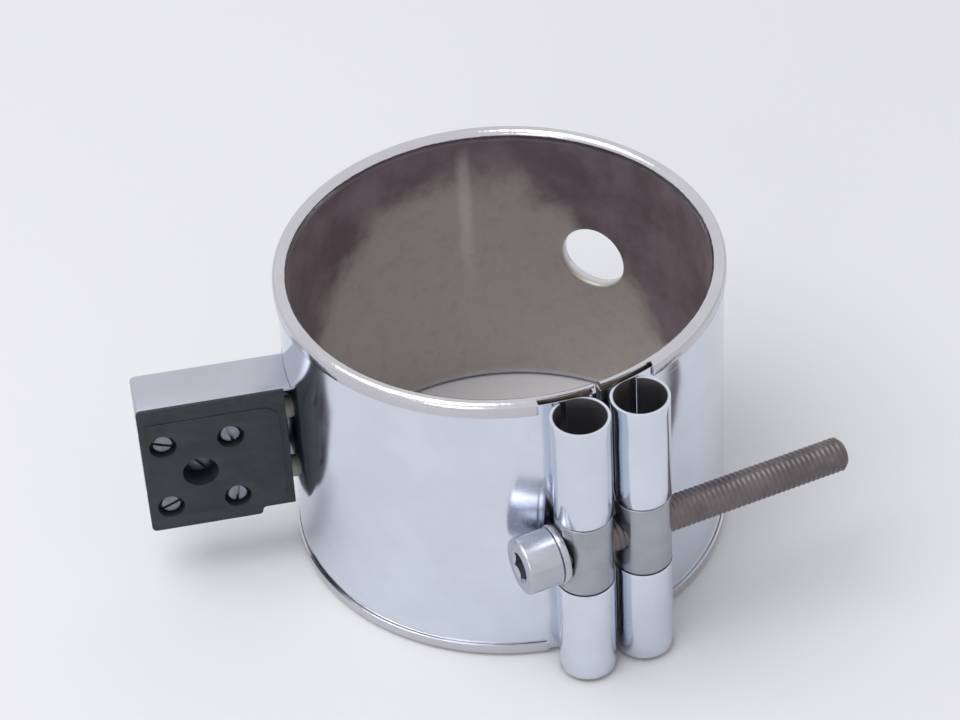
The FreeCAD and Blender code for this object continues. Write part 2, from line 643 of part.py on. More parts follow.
def make_clamp_screw():
    """A long socket head cap screw. In its own frame its shank runs up +Z from its head."""
    body = new_body("screw")
    profile = new_sketch(body, "screw_profile", "XZ_Plane")
    head, shank = size("head_radius"), size("screw_radius")
    top = "-" + size("head_height")
    draw(profile, [("0", top), (minus(head, size("head_chamfer")), top),
                   (head, plus(top, size("head_chamfer"))), (head, "0"), (shank, "0"),
                   (shank, minus(size("screw_length"), size("screw_chamfer"))),
                   (minus(shank, size("screw_chamfer")), size("screw_length")),
                   ("0", size("screw_length"))],
         {1: (minus(head, size("head_chamfer")), plus(top, size("head_chamfer")), 1)})
    revolve(body, "screw_blank", profile)
    socket = new_sketch(body, "socket_outline", "XY_Plane", offset=top)
    hexagon(socket, size("hex_flats"))
    pocket(body, "hex_socket", socket, size("hex_depth"), reversed_way=True)
    floor = plus(top, size("hex_depth"))
    drill = new_sketch(body, "drill_profile", "XZ_Plane")
    draw(drill, [("0", minus(floor, "0.1")), (half(size("hex_flats")), minus(floor, "0.1")),
                 (half(size("hex_flats")), floor), ("0", plus(floor, size("hex_cone")))])
    groove = body.newObject("PartDesign::Groove", "drill_point")
    groove.Profile = drill
    groove.ReferenceAxis = (drill, ["V_Axis"])
    groove.Angle = 360
    keep("clamp_screw", body, at(SEAT_X, BARREL_Y, size("clamp_rise"), "0", "90"))


def make_screw_washer():
    """A flat washer between the screw's head and the barrel's flat."""
    body = new_body("washer")
    profile = new_sketch(body, "washer_profile", "XZ_Plane")
    bevel, thick = size("washer_chamfer"), size("washer_thick")
    rim, eye = size("washer_radius"), size("washer_hole")
    draw(profile, [(eye, "0"), (minus(rim, bevel), "0"), (rim, bevel), (rim, thick), (eye, thick)])
    revolve(body, "washer_turned", profile)
    keep("screw_washer", body, at(plus(SEAT_X, size("seat_gap")), BARREL_Y, size("clamp_rise"),
                                  "0", "90"))


# ---------------------------------------------------------------- the terminal box
def make_box_shell():
    """One folded sheet: back, top, outer end and a bottom that stops short of the band,
    open at the front, with a foot bent back along the band and welded to the strap."""
    sheet_thick, bend = size("box_sheet"), size("box_bend")
    top, front = BOX_TOP, BOX_FRONT
    body = new_body("shell")
    outline = new_sketch(body, "shell_outline", "XZ_Plane", offset="-" + front)
    start = minus(STRAP_OUT, "3")
    corner = minus(BOX_END, bend)
    draw(outline, [(start, "-" + top), (corner, "-" + top), (BOX_END, "-" + minus(top, bend)),
                   (BOX_END, minus(top, bend)), (corner, top), (start, top)],
         {1: (corner, "-" + minus(top, bend), 1), 3: (corner, minus(top, bend), 1)})
    pad(body, "shell_block", outline, size("box_depth"))
    inner_bend = minus(bend, sheet_thick)
    hollow = new_sketch(body, "shell_hollow", "XZ_Plane", offset=minus(front, sheet_thick))
    inner_top, inner_end = minus(top, sheet_thick), minus(BOX_END, sheet_thick)
    inner_corner = minus(inner_end, inner_bend)
    draw(hollow, [(minus(start, "1"), "-" + inner_top), (inner_corner, "-" + inner_top),
                  (inner_end, "-" + minus(inner_top, inner_bend)),
                  (inner_end, minus(inner_top, inner_bend)), (inner_corner, inner_top),
                  (minus(start, "1"), inner_top)],
         {1: (inner_corner, "-" + minus(inner_top, inner_bend), 1),
          3: (inner_corner, minus(inner_top, inner_bend), 1)})
    pocket(body, "shell_hollowed", hollow, size("box_depth"))
    round_band = cylinder("shell_band", plus(STRAP_OUT, size("foot_gap")), "2 * " + RIM_TOP,
                          at(z="-" + RIM_TOP))
    notch = box("shell_notch", (minus(start, "2"), NOTCH_X), ("-" + front, plus(front, "1")),
                (minus("-" + top, "1"), minus("-" + top, "-" + size("neck_step"))))
    fixing = crossbar("shell_fixing", plus(size("fixing_radius"), size("fixing_gap")),
                      minus("-" + front, "1"), front, TERMINAL_X, "-" + size("pole_drop"))
    ways = [lengthwise("shell_line_%d" % number, size("line_hole_radius"),
                       minus(BOX_END, "3"), plus(BOX_END, "2"), "0", pole)
            for number, pole in enumerate((POLE_TOP, POLE_LOW))]
    shell = cut("shell_trimmed", body, fuse("shell_tools", [round_band, notch, fixing] + ways))
    foot_in = plus(STRAP_OUT, size("foot_gap"))
    foot_out = plus(foot_in, sheet_thick)
    foot_angle = "(%s / %s * 180 / pi)" % (size("foot_length"), STRAP_OUT)
    foot_start = "(-asin(%s / %s) / 1 deg)" % (minus(front, sheet_thick), STRAP_OUT)
    foot_place = at(z="-" + half(size("foot_height")), yaw=minus(foot_start, foot_angle))
    foot = cut("shell_foot",
               cylinder("foot_outside", foot_out, size("foot_height"), foot_place, foot_angle),
               cylinder("foot_inside", foot_in, size("foot_height"), foot_place, foot_angle))
    keep("box_shell", fuse("shell_folded", [shell, foot]), ON_BAND)


def make_terminal_block():
    """The moulded block that fills the box: a lip over the sheet's front edges, a rounded
    step in its lower edge towards the band, a raised face with rounded corners, four screw
    wells, a deep fixing well between them, and two bores for the brass terminals."""
    body = new_body("block")
    outline = new_sketch(body, "block_outline", "XZ_Plane", offset="-" + BOX_FRONT)
    low = "-" + BLOCK_TOP
    step = plus("-" + BOX_TOP, size("neck_step"), size("block_gap"))
    draw(outline, [(BLOCK_START, step), (NOTCH_X, step), (NOTCH_X, low), (BLOCK_END, low),
                   (BLOCK_END, BLOCK_TOP), (BLOCK_START, BLOCK_TOP)])
    pad(body, "block_blank", outline, minus(BOX_FRONT, BLOCK_BACK))
    lip = new_sketch(body, "lip_outline", "XZ_Plane", offset="-" + BOX_FRONT)
    turn, bend = half(size("neck_step")), size("box_bend")
    foot, head = "-" + BOX_TOP, BOX_TOP
    draw(lip, [(BLOCK_START, plus(foot, size("neck_step"))),
               (minus(NOTCH_X, turn), plus(foot, size("neck_step"))),
               (NOTCH_X, plus(foot, turn)), (plus(NOTCH_X, turn), foot),
               (minus(BOX_END, bend), foot), (BOX_END, plus(foot, bend)),
               (BOX_END, minus(head, bend)), (minus(BOX_END, bend), head), (BLOCK_START, head)],
         {1: (minus(NOTCH_X, turn), plus(foot, turn), -1),
          2: (plus(NOTCH_X, turn), plus(foot, turn), 1),
          4: (minus(BOX_END, bend), plus(foot, bend), 1),
          6: (minus(BOX_END, bend), minus(head, bend), 1)})
    pad(body, "cover_lip", lip, size("cover_lip"), reversed_way=True)
    face = new_sketch(body, "face_outline", "XZ_Plane", offset="-" + BLOCK_FRONT)
    margin, corner = size("pad_margin"), size("pad_corner")
    left, right = plus(BLOCK_START, margin), minus(BLOCK_END, half(margin))
    bottom, high = plus(low, size("neck_step"), half(margin)), minus(BLOCK_TOP, size("pad_top_margin"))
    draw(face, [(plus(left, corner), bottom), (right, bottom), (right, high),
                (plus(left, corner), high), (left, minus(high, corner)), (left, plus(bottom, corner))],
         {3: (plus(left, corner), minus(high, corner), 1),
          5: (plus(left, corner), plus(bottom, corner), 1)})
    pad(body, "raised_face", face, size("pad_rise"), reversed_way=True)

    surface = plus(BLOCK_FRONT, size("pad_rise"))
    wells = new_sketch(body, "well_circles", "XZ_Plane", offset="-" + surface)
    for_screws = new_sketch(body, "screw_circles", "XZ_Plane", offset="-" + surface)
    reach = half(size("terminal_space"))
    for x in (minus(TERMINAL_X, reach), plus(TERMINAL_X, reach)):
        for pole in (POLE_TOP, POLE_LOW):
            draw_circle(wells, x, pole, size("well_radius"))
            draw_circle(for_screws, x, pole, plus(size("clamp_screw_radius"), size("fixing_gap")))
    pocket(body, "screw_wells", wells, plus(size("well_depth"), size("pad_rise")),
           reversed_way=True)
    pocket(body, "screw_ways", for_screws, surface, reversed_way=True)
    fixing = new_sketch(body, "fixing_circle", "XZ_Plane", offset="-" + surface)
    draw_circle(fixing, TERMINAL_X, "-" + size("pole_drop"), size("fixing_well"))
    pocket(body, "fixing_well_bore", fixing, plus(size("fixing_well_depth"), size("pad_rise")),
           reversed_way=True)
    through = new_sketch(body, "fixing_way_circle", "XZ_Plane", offset="-" + surface)
    draw_circle(through, TERMINAL_X, "-" + size("pole_drop"),
                plus(size("fixing_radius"), size("fixing_gap")))
    pocket(body, "fixing_way", through, "2 * " + size("box_depth"), reversed_way=True)
    bores = new_sketch(body, "terminal_circles", "YZ_Plane")
    for pole in (POLE_TOP, POLE_LOW):
        draw_circle(bores, "0", pole, plus(size("terminal_radius"), size("terminal_gap")))
    pocket(body, "terminal_bores", bores, plus(BOX_END, "5"), reversed_way=True)
    keep("terminal_block", body, ON_BAND)


def make_connector(name, pole):
    """A brass terminal: a thick tube with a clamping screw at each end."""
    start = minus(TERMINAL_X, half(size("terminal_length")))
    end = plus(TERMINAL_X, half(size("terminal_length")))
    tube = lengthwise(name + "_tube", size("terminal_radius"), start, end, "0", pole)
    tools = [lengthwise(name + "_bore", size("terminal_bore"), minus(start, "1"),
                        plus(end, "1"), "0", pole)]
    for number, x in enumerate(screw_places()):
        tools.append(crossbar("%s_tapping_%d" % (name, number),
                              plus(size("clamp_screw_radius"), size("thread_gap")), "0",
                              plus(size("terminal_radius"), "1"), x, pole))
    keep(name, cut(name + "_cut", tube, fuse(name + "_tools", tools)), ON_BAND)


def screw_places():
    reach = half(size("terminal_space"))
    return minus(TERMINAL_X, reach), plus(TERMINAL_X, reach)


def slotted_screw(name, seat, tip, radius, head_radius, head_height, x, z, turn):
    """A cheese head screw along the box's Y, with its slot turned by an angle."""
    head = crossbar(name + "_head", head_radius, seat, plus(seat, head_height), x, z)
    shank = crossbar(name + "_shank", radius, tip, plus(seat, half(head_height)), x, z)
    slot_floor = minus(plus(seat, head_height), size("slot_depth"))
    slot = bind(doc.addObject("Part::Box", name + "_slot"), Length=size("slot_width"),
                Width="4 * " + head_radius, Height="2 * " + size("slot_depth"),
                Placement="%s * %s" % (at(x, slot_floor, z, "0", "0", "-90"),
                                       "placement(vector(0; 0; 0); rotation(%s; 0; 0)) * "
                                       "placement(vector(-%s / 2; -2 * %s; 0); rotation(0; 0; 0))"
                                       % (turn, size("slot_width"), head_radius)))
    return cut(name, fuse(name + "_blank", [head, shank]), slot)


def make_connector_screws():
    """The four screws that clamp the wires, one at each end of each terminal."""
    wire_top = {0: plus(size("pin_radius"), size("thread_gap")), 1: "0.5 * " + size("terminal_bore")}
    turns = (("12", "-8"), ("70", "115"))
    screws = []
    for end, x in enumerate(screw_places()):
        for row, pole in enumerate((POLE_TOP, POLE_LOW)):
            screws.append(slotted_screw("terminal_screw_%d%d" % (end, row), WELL_FLOOR,
                                        wire_top[end], size("clamp_screw_radius"),
                                        size("clamp_screw_head"), size("clamp_head_height"),
                                        x, pole, turns[end][row]))
    keep("connector_screws", group("terminal_screws", screws), ON_BAND)


def make_block_fixing():
    """The screw deep in the block's middle well, and its nut behind the box."""
    x, z = TERMINAL_X, "-" + size("pole_drop")
    seat = minus(BLOCK_FRONT, size("fixing_well_depth"))
    back = "-" + BOX_FRONT
    tip = minus(back, size("nut_height"), size("fixing_end"))
    screw = slotted_screw("fixing_screw", seat, tip, size("fixing_radius"),
                          size("fixing_head"), size("fixing_head_height"), x, z, "35")
    keep("block_screw", screw, ON_BAND)
    body = new_body("nut")
    outline = new_sketch(body, "nut_outline", "XZ_Plane")
    hexagon(outline, size("nut_flats"))
    pad(body, "nut_blank", outline, size("nut_height"))
    way = new_sketch(body, "nut_way_circle", "XZ_Plane")
    draw_circle(way, "0", "0", plus(size("fixing_radius"), size("thread_gap")))
    pocket(body, "nut_way", way, "3 * " + size("nut_height"), symmetric=True)
    keep("block_nut", body, "%s * placement(vector(%s; %s; %s); rotation(0; 0; 0))"
         % (ON_BAND, x, back, z))


def make_bush(name, pole):
    """A ceramic bush round a lead, from the strap into the block."""
    inner, outer = plus(OUTER_MICA_IN, size("layer_gap")), plus(STRAP_OUT, size("bush_reach"))
    rise = plus(size("box_rise"), pole)
    bar = radial(name + "_bar", size("bush_radius"), inner, outer, size("box_bearing"), rise)
    bore = radial(name + "_bore", size("bush_bore"), minus(inner, "1"), plus(outer, "1"),
                  size("box_bearing"), rise)
    keep(name, cut(name + "_cut", bar, bore))


make_inner_sheath()
layer("inner_mica", INNER_MICA_IN, INNER_MICA_OUT, LAYER_RISE, bushes=False)
make_core()
TURNS = make_ribbon()
make_leads(TURNS)
layer("outer_mica", OUTER_MICA_IN, OUTER_MICA_OUT, LAYER_RISE)
make_strap()
make_barrel("plain_barrel", "-", size("screw_way_radius"), flat=True)
make_barrel("threaded_barrel", "", plus(size("screw_radius"), size("thread_gap")), flat=False)
make_clamp_screw()
make_screw_washer()
make_box_shell()
make_terminal_block()
make_connector("upper_connector", POLE_TOP)
make_connector("lower_connector", POLE_LOW)
make_connector_screws()
make_block_fixing()
make_bush("upper_bush", POLE_TOP)
make_bush("lower_bush", POLE_LOW)
doc.recompute()

failed = [item.Name for item in doc.Objects if {"Invalid", "Error"} & set(item.State)]
if failed:
    raise RuntimeError("these objects failed: " + ", ".join(failed))
for name, item in PARTS.items():
    if item.Shape.isNull() or not item.Shape.isValid() or not item.Shape.Solids:
        raise RuntimeError("this sub-part has no sound shape: " + name)
os.makedirs("parts", exist_ok=True)
for name, item in PARTS.items():
    item.Shape.exportStep("parts/%s.step" % name)
    corners = item.Shape.BoundBox
    print("%-18s solids %d  volume %9.1f mm3  x %.1f..%.1f  y %.1f..%.1f  z %.1f..%.1f" % (
        name, len(item.Shape.Solids), item.Shape.Volume, corners.XMin, corners.XMax,
        corners.YMin, corners.YMax, corners.ZMin, corners.ZMax))
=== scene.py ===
import json
import math
from contextlib import contextmanager

import bmesh
import bpy
from bpy.props import FloatProperty, FloatVectorProperty, IntProperty, PointerProperty
from mathutils import Matrix, Vector


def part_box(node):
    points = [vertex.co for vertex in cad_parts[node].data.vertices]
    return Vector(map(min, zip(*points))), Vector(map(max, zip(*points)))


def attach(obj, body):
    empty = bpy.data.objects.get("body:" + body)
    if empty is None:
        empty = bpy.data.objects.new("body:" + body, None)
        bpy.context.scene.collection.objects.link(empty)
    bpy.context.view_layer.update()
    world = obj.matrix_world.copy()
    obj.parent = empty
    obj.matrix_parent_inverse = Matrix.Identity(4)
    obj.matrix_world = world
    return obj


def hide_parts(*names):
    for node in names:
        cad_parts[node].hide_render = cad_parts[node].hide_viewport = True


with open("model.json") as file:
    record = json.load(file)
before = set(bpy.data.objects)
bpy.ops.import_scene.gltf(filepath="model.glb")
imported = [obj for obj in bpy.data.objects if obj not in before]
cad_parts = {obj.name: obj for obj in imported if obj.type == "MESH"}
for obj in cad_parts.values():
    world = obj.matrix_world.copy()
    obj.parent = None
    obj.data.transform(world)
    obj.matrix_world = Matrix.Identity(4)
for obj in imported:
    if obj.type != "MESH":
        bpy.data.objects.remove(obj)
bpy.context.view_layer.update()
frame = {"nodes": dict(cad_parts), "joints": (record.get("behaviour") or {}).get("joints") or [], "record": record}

bl_info = {
    "name": "Band Heater",
    "version": (1, 0, 0),
    "blender": (4, 5, 0),
    "location": "View3D > Sidebar > Band Heater",
    "description": "Dresses a clamped band heater: its rolled sheets, clamp and terminal box",
    "category": "Object",
}

# Lengths are in metres. Z runs along the band's axis, the split and its clamp face -Y, and a
# bearing is an angle about Z counted from +X.
MM = 0.001
ACROSS, UP = Vector((1, 0, 0)), Vector((0, 0, 1))
RECORD = frame["record"]
MOUNTS = {mount["name"]: mount for mount in RECORD["mounts"]}
JOINTS = {joint["name"]: joint for joint in frame["joints"]}

BORE = MOUNTS["band_bore"]["dims"]["r_mm"] * MM
RIM_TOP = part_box("inner_sheath")[1].z
STRAP_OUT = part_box("clamp_strap")[1].x
STRAP_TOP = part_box("clamp_strap")[1].z
PLAIN_BARREL = Vector(JOINTS["plain_barrel_swivel"]["pos_m"])
THREADED_BARREL = Vector(JOINTS["threaded_barrel_swivel"]["pos_m"])
SCREW_SEAT = Vector(JOINTS["screw_turn"]["pos_m"])
SCREW_HEAD, SCREW_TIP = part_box("clamp_screw")[0].x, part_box("clamp_screw")[1].x
PROBE = Vector(MOUNTS["probe_hole"]["pos_m"])
PROBE_WAY = Vector(MOUNTS["probe_hole"]["axis"]).normalized()
PROBE_RADIUS = MOUNTS["probe_hole"]["dims"]["r_mm"] * MM
BOX_WAY = Vector(MOUNTS["line_leads"]["axis"]).normalized()
BOX_END = Vector(MOUNTS["line_leads"]["pos_m"]).dot(BOX_WAY)
BOX_LOW, BOX_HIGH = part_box("box_shell")[0].z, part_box("box_shell")[1].z
BOX_TOP = (BOX_HIGH - BOX_LOW) / 2
# the box's own frame: X out from the band, Y to its open face, Z up, from the box's middle
BOX_FRAME = Matrix.Translation((0, 0, (BOX_HIGH + BOX_LOW) / 2)) @ Matrix(
    (BOX_WAY, UP.cross(BOX_WAY), UP)).transposed().to_4x4()


def length(name, description, millimetres):
    """A length that a user may change, given here in millimetres."""
    return FloatProperty(name=name, description=description, default=millimetres * MM,
                         min=0.0, precision=5, unit="LENGTH")


def colour(name, description, red, green, blue):
    """A colour that a user may change."""
    return FloatVectorProperty(name=name, description=description, subtype="COLOR",
                               default=(red, green, blue), min=0.0, max=1.0)


class BandHeaterSheets(bpy.types.PropertyGroup):
    """Sizes of the sheath and the strap."""
    sheath: length("Sheath sheet", "Thickness of the sheet inside the band", 0.5)
    strap: length("Strap sheet", "Thickness of the clamp strap", 0.7)
    rim: length("Rim depth", "Depth of the rolled rims over the wall", 3.3)
    hem: length("Hem drop", "How far a rim comes down behind the wall", 1.8)
    split: length("Split", "Gap between the band's two ends", 1.0)
    end_hem: length("End hem", "How far from the middle the ends are folded back", 3.5)
    collar_root: length("Collar root", "Radius where the collar rises from the wall", 0.6)
    collar_flange: length("Collar flange", "Outer radius of the collar's flange", 10.2)
    collar_rise: length("Collar rise", "Height of the flange over the wall", 2.75)
    probe_way: length("Strap hole", "Radius of the strap's hole round the collar", 8.8)
    bush_way: length("Bush holes", "Radius of the strap's holes round the bushes", 2.75)
    knuckle: length("Knuckle radius", "Outside of the rolled knuckles", 6.5)
    seam: length("Knuckle seam", "Gap where a knuckle closes on the strap", 0.1)
    window: length("Window height", "Height of the windows for the barrels", 19.6)
    window_edge: length("Window edge", "Half the width of the windows in the strap", 9.86)
    edge: length("Sheet edges", "Rounding of the sheets' cut edges", 0.1)
    columns: IntProperty(name="Columns", description="Facets round the band", default=300, min=60)
    rows: IntProperty(name="Rows", description="Facets up the band", default=24, min=4)


class BandHeaterClamp(bpy.types.PropertyGroup):
    """Sizes of the barrels, the screw and its washer."""
    barrel: length("Barrel radius", "Radius of a barrel's thick middle", 6.45)
    barrel_height: length("Barrel height", "Height of a barrel's thick middle", 18.8)
    journal: length("Journal radius", "Radius of a barrel inside the knuckles", 5.72)
    journal_height: length("Journal height", "How far a journal reaches in", 9.0)
    chamfer: length("Chamfer", "Chamfer at the journals' ends", 0.4)
    plain_way: length("Clearance hole", "Radius of the plain barrel's hole", 4.5)
    thread_way: length("Tapped hole", "Radius of the threaded barrel's hole", 4.0)
    flat: length("Flat", "Radius of the cutter of the plain barrel's flat", 8.6)
    screw: length("Screw radius", "Outside of the screw's thread", 3.95)
    pitch: length("Pitch", "Rise of the thread in one turn", 1.25)
    thread: length("Thread depth", "Depth of the thread", 0.17)
    head: length("Head radius", "Radius of the screw's head", 6.5)
    head_edge: length("Head edge", "Rounding of the head's rim", 0.7)
    hexagon: length("Hexagon", "Width of the socket across its flats", 6.0)
    socket: length("Socket depth", "Depth of the hexagon socket", 4.2)
    washer: length("Washer radius", "Radius of the washer", 6.8)
    washer_way: length("Washer hole", "Radius of the washer's hole", 4.2)
    washer_sheet: length("Washer", "Thickness of the washer", 1.6)


class BandHeaterBox(bpy.types.PropertyGroup):
    """Sizes of the terminal box, its moulding and the screws in it."""
    depth: length("Box depth", "Depth of the folded sheet, back to front", 12.6)
    sheet: length("Box sheet", "Thickness of the folded sheet", 0.8)
    bend: length("Bend", "Outside radius of the box's bends", 1.2)
    notch: length("Notch", "Distance of the lower step from the strap", 9.0)
    step: length("Step", "Height of the step in the lower edge", 2.0)
    foot: length("Foot", "Length of the foot along the strap", 11.0)
    foot_height: length("Foot height", "Height of the foot", 28.0)
    gap: length("Gap", "Gap between the moulding and the sheet", 0.15)
    lip: length("Lip", "Thickness of the moulding's lip over the sheet", 0.7)
    stand: length("Stand-off", "Gap between the moulding and the strap", 1.3)
    face: length("Raised face", "How far the moulding's face is raised", 0.3)
    margin: length("Face margin", "Edge left beside the raised face", 1.6)
    top_margin: length("Top margin", "Edge left over the raised face", 3.2)
    corner: length("Face corner", "Corner radius of the raised face", 4.0)
    pole_space: length("Poles", "Distance between the two rows of screws", 18.1)
    pole_drop: length("Pole drop", "How far the rows lie below the middle", 1.85)
    screw_space: length("Screw spacing", "Distance between the screws of a row", 15.4)
    reach: length("Reach", "Distance of the fixing well from the strap", 22.05)
    well: length("Well radius", "Radius of a screw's well", 3.1)
    well_depth: length("Well depth", "Depth of a screw's well", 2.25)
    fixing_well: length("Fixing well", "Radius of the well in the middle", 4.1)
    fixing_depth: length("Fixing depth", "Depth of the well in the middle", 5.0)
    bore: length("Terminal bore", "Radius of the bores round the terminals", 2.75)
    line_hole: length("Line holes", "Radius of the line leads' holes", 2.4)


class BandHeaterColours(bpy.types.PropertyGroup):
    """Colours of the finishes."""
    strap: colour("Strap", "Polished stainless sheet", 0.690, 0.732, 0.815)
    bead: colour("Rims", "Bright rolled rims", 0.61, 0.60, 0.635)
    bore: colour("Bore", "Sheet dulled by heat", 0.330, 0.270, 0.296)
    stain: colour("Heat stain", "Violet brown bloom on hot steel", 0.210, 0.163, 0.184)
    pale: colour("Pale patch", "Greenish grey where the sheet stays cooler", 0.545, 0.505, 0.468)
    box: colour("Box", "Folded stainless sheet", 0.505, 0.520, 0.585)
    turned: colour("Barrels", "Turned steel", 0.385, 0.405, 0.440)
    head: colour("Screw head", "Machined steel", 0.53, 0.54, 0.60)
    shank: colour("Screw shank", "Oiled steel of the shank", 0.150, 0.131, 0.135)
    moulding: colour("Moulding", "Black heat-proof moulding", 0.016, 0.020, 0.026)
    plated: colour("Terminal screws", "Plated steel", 0.235, 0.240, 0.275)
    brass: colour("Brass", "Terminals", 0.62, 0.44, 0.17)
    ceramic: colour("Ceramic", "Bushes", 0.74, 0.71, 0.64)
    mica: colour("Mica", "Pressed mica sheet", 0.42, 0.34, 0.24)
    ribbon: colour("Ribbon", "Resistance ribbon", 0.33, 0.31, 0.30)
    nickel: colour("Nickel", "Leads", 0.60, 0.57, 0.52)
    floor: colour("Floor", "Pale studio floor", 0.80, 0.80, 0.82)


# ---------------------------------------------------------------- work on meshes
def only(*pieces):
    """Select these pieces alone, and make the first one active."""
    bpy.ops.object.select_all(action="DESELECT")
    for piece in pieces:
        piece.select_set(True)
    bpy.context.view_layer.objects.active = pieces[0]


@contextmanager
def editing(piece):
    """Work on one piece in edit mode."""
    only(piece)
    bpy.ops.object.mode_set(mode="EDIT")
    yield
    bpy.ops.object.mode_set(mode="OBJECT")


def middle(item):
    corners = item.verts
    return sum((corner.co for corner in corners), Vector()) / len(corners)


def pick(kind, test, open_only=False):
    """Select the faces or edges whose middle passes a test, in the piece being edited."""
    bpy.ops.mesh.select_mode(type={"edges": "EDGE", "faces": "FACE"}[kind])
    bpy.ops.mesh.select_all(action="DESELECT")
    data = bpy.context.edit_object.data
    mesh = bmesh.from_edit_mesh(data)
    for item in getattr(mesh, kind):
        if (not open_only or item.is_boundary) and test(middle(item)):
            item.select_set(True)
    mesh.select_flush_mode()
    bmesh.update_edit_mesh(data)


def pull(way):
    """Extrude what is selected by a vector."""
    bpy.ops.mesh.extrude_region_move(TRANSFORM_OT_translate={"value": tuple(way)})


def swing(centre, axis, degrees, steps):
    """Sweep what is selected about an axis, anticlockwise where the angle is positive."""
    bpy.ops.mesh.spin(steps=steps, angle=-math.radians(degrees), center=centre, axis=axis)


def start(name, point):
    """A new piece that is one vertex, left in edit mode to be drawn out."""
    bpy.ops.object.select_all(action="DESELECT")
    bpy.ops.mesh.primitive_plane_add(size=MM, location=point)
    piece = bpy.context.object
    piece.name = name
    bpy.ops.object.transform_apply(location=True, rotation=False, scale=False)
    bpy.ops.object.mode_set(mode="EDIT")
    bpy.ops.mesh.select_mode(type="VERT")
    bpy.ops.mesh.merge(type="CENTER")
    return piece


def stop():
    bpy.ops.object.mode_set(mode="OBJECT")


def outline(name, points, closed=True):
    """A wire through points, drawn out from its first one."""
    points = [Vector(point) for point in points]
    piece = start(name, points[0])
    for here, there in zip(points, points[1:]):
        bpy.ops.mesh.extrude_vertices_move(
            TRANSFORM_OT_translate={"value": tuple(there - here)})
    if closed:
        pull(points[0] - points[-1])
        bpy.ops.mesh.select_all(action="SELECT")
        bpy.ops.mesh.remove_doubles(threshold=1e-6)
    stop()
    return piece


def arc(x, y, radius, first, last, steps=8):
    """Points on an arc, as pairs, between two angles in degrees."""
    turns = [math.radians(first + (last - first) * step / steps) for step in range(steps + 1)]
    return [(x + radius * math.cos(turn), y + radius * math.sin(turn)) for turn in turns]


def whole(piece):
    """Close the seams of a swept piece and turn its faces outwards."""
    with editing(piece):
        bpy.ops.mesh.select_all(action="SELECT")
        bpy.ops.mesh.remove_doubles(threshold=2e-7)
        bpy.ops.mesh.normals_make_consistent(inside=False)
    return piece


def slab(name, points, way):
    """A closed outline filled and drawn out along a vector."""
    piece = outline(name, points)
    with editing(piece):
        bpy.ops.mesh.select_all(action="SELECT")
        bpy.ops.mesh.edge_face_add()
        pull(way)
    return whole(piece)


def turned(name, profile, centre=(0, 0, 0), axis=UP, steps=96, closed=False):
    """A turned form: pairs of radius and height, swept once about an axis."""
    centre, axis = Vector(centre), Vector(axis).normalized()
    side = axis.orthogonal().normalized()
    piece = outline(name, [centre + side * radius + axis * height
                           for radius, height in profile], closed)
    with editing(piece):
        bpy.ops.mesh.select_all(action="SELECT")
        swing(centre, axis, 360, steps)
    return whole(piece)


def bar(name, radius, first, last, sides=96):
    """A round cutter between two points."""
    first, last = Vector(first), Vector(last)
    bpy.ops.object.select_all(action="DESELECT")
    bpy.ops.mesh.primitive_cylinder_add(
        vertices=sides, radius=radius, depth=(last - first).length, location=(first + last) / 2,
        rotation=UP.rotation_difference(last - first).to_euler())
    piece = bpy.context.object
    piece.name = name
    bpy.ops.object.transform_apply()
    return piece


def block(name, low, high):
    """A square blank or cutter between two corners."""
    low, high = Vector(low), Vector(high)
    bpy.ops.object.select_all(action="DESELECT")
    bpy.ops.mesh.primitive_cube_add(size=1, location=(low + high) / 2, scale=high - low)
    piece = bpy.context.object
    piece.name = name
    bpy.ops.object.transform_apply()
    return piece


def change(piece, kind, **settings):
    """Add a modifier and apply it."""
    only(piece)
    modifier = piece.modifiers.new(kind.title(), kind)
    for name, value in settings.items():
        setattr(modifier, name, value)
    bpy.ops.object.modifier_apply(modifier=modifier.name)


def carve(piece, *cutters, operation="DIFFERENCE"):
    """Cut a piece by others, which are used up, or join it to them."""
    for cutter in cutters:
        change(piece, "BOOLEAN", operation=operation, object=cutter, solver="EXACT")
        bpy.data.objects.remove(cutter)
    return piece


def thicken(piece, thickness):
    change(piece, "SOLIDIFY", thickness=thickness, offset=0, use_even_offset=True,
           use_quality_normals=True)


def soften(piece, width, segments=2, angle=30):
    """Round the sharp edges a little."""
    change(piece, "BEVEL", width=width, segments=segments, limit_method="ANGLE",
           angle_limit=math.radians(angle), use_clamp_overlap=True, harden_normals=False)


def divide(piece, point, normal, test):
    """Divide the faces that pass a test along a plane."""
    with editing(piece):
        pick("faces", test)
        bpy.ops.mesh.bisect(plane_co=point, plane_no=normal)


def drop(piece, test):
    """Delete the faces whose middle passes a test."""
    with editing(piece):
        pick("faces", test)
        bpy.ops.mesh.delete(type="FACE")


def finished(piece, body, slot, material, *nodes):
    """Shade a piece, give it its finish, and let it stand for its solids."""
    only(piece)
    bpy.ops.object.shade_smooth_by_angle(angle=math.radians(32))
    piece.data.materials.clear()
    piece.data.materials.append(material)
    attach(piece, body)
    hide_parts(*nodes)


# ---------------------------------------------------------------- finishes
class Amount:
    """What a socket gives. Sums on it add Math nodes."""

    def __init__(self, finish, socket):
        self.finish, self.socket = finish, socket

    def math(self, operation, *others, first=None):
        values = [self, *others] if first is None else [first, self]
        return self.finish.add("ShaderNodeMath", {"operation": operation},
                               dict(enumerate(values)))

    def __add__(self, other):
        return self.math("ADD", other)

    __radd__ = __add__

    def __mul__(self, other):
        return self.math("MULTIPLY", other)

    __rmul__ = __mul__

    def __sub__(self, other):
        return self.math("SUBTRACT", other)

    def __rsub__(self, other):
        return self.math("SUBTRACT", first=other)

    def __abs__(self):
        return self.math("ABSOLUTE")

    def most(self, other):
        return self.math("MAXIMUM", other)


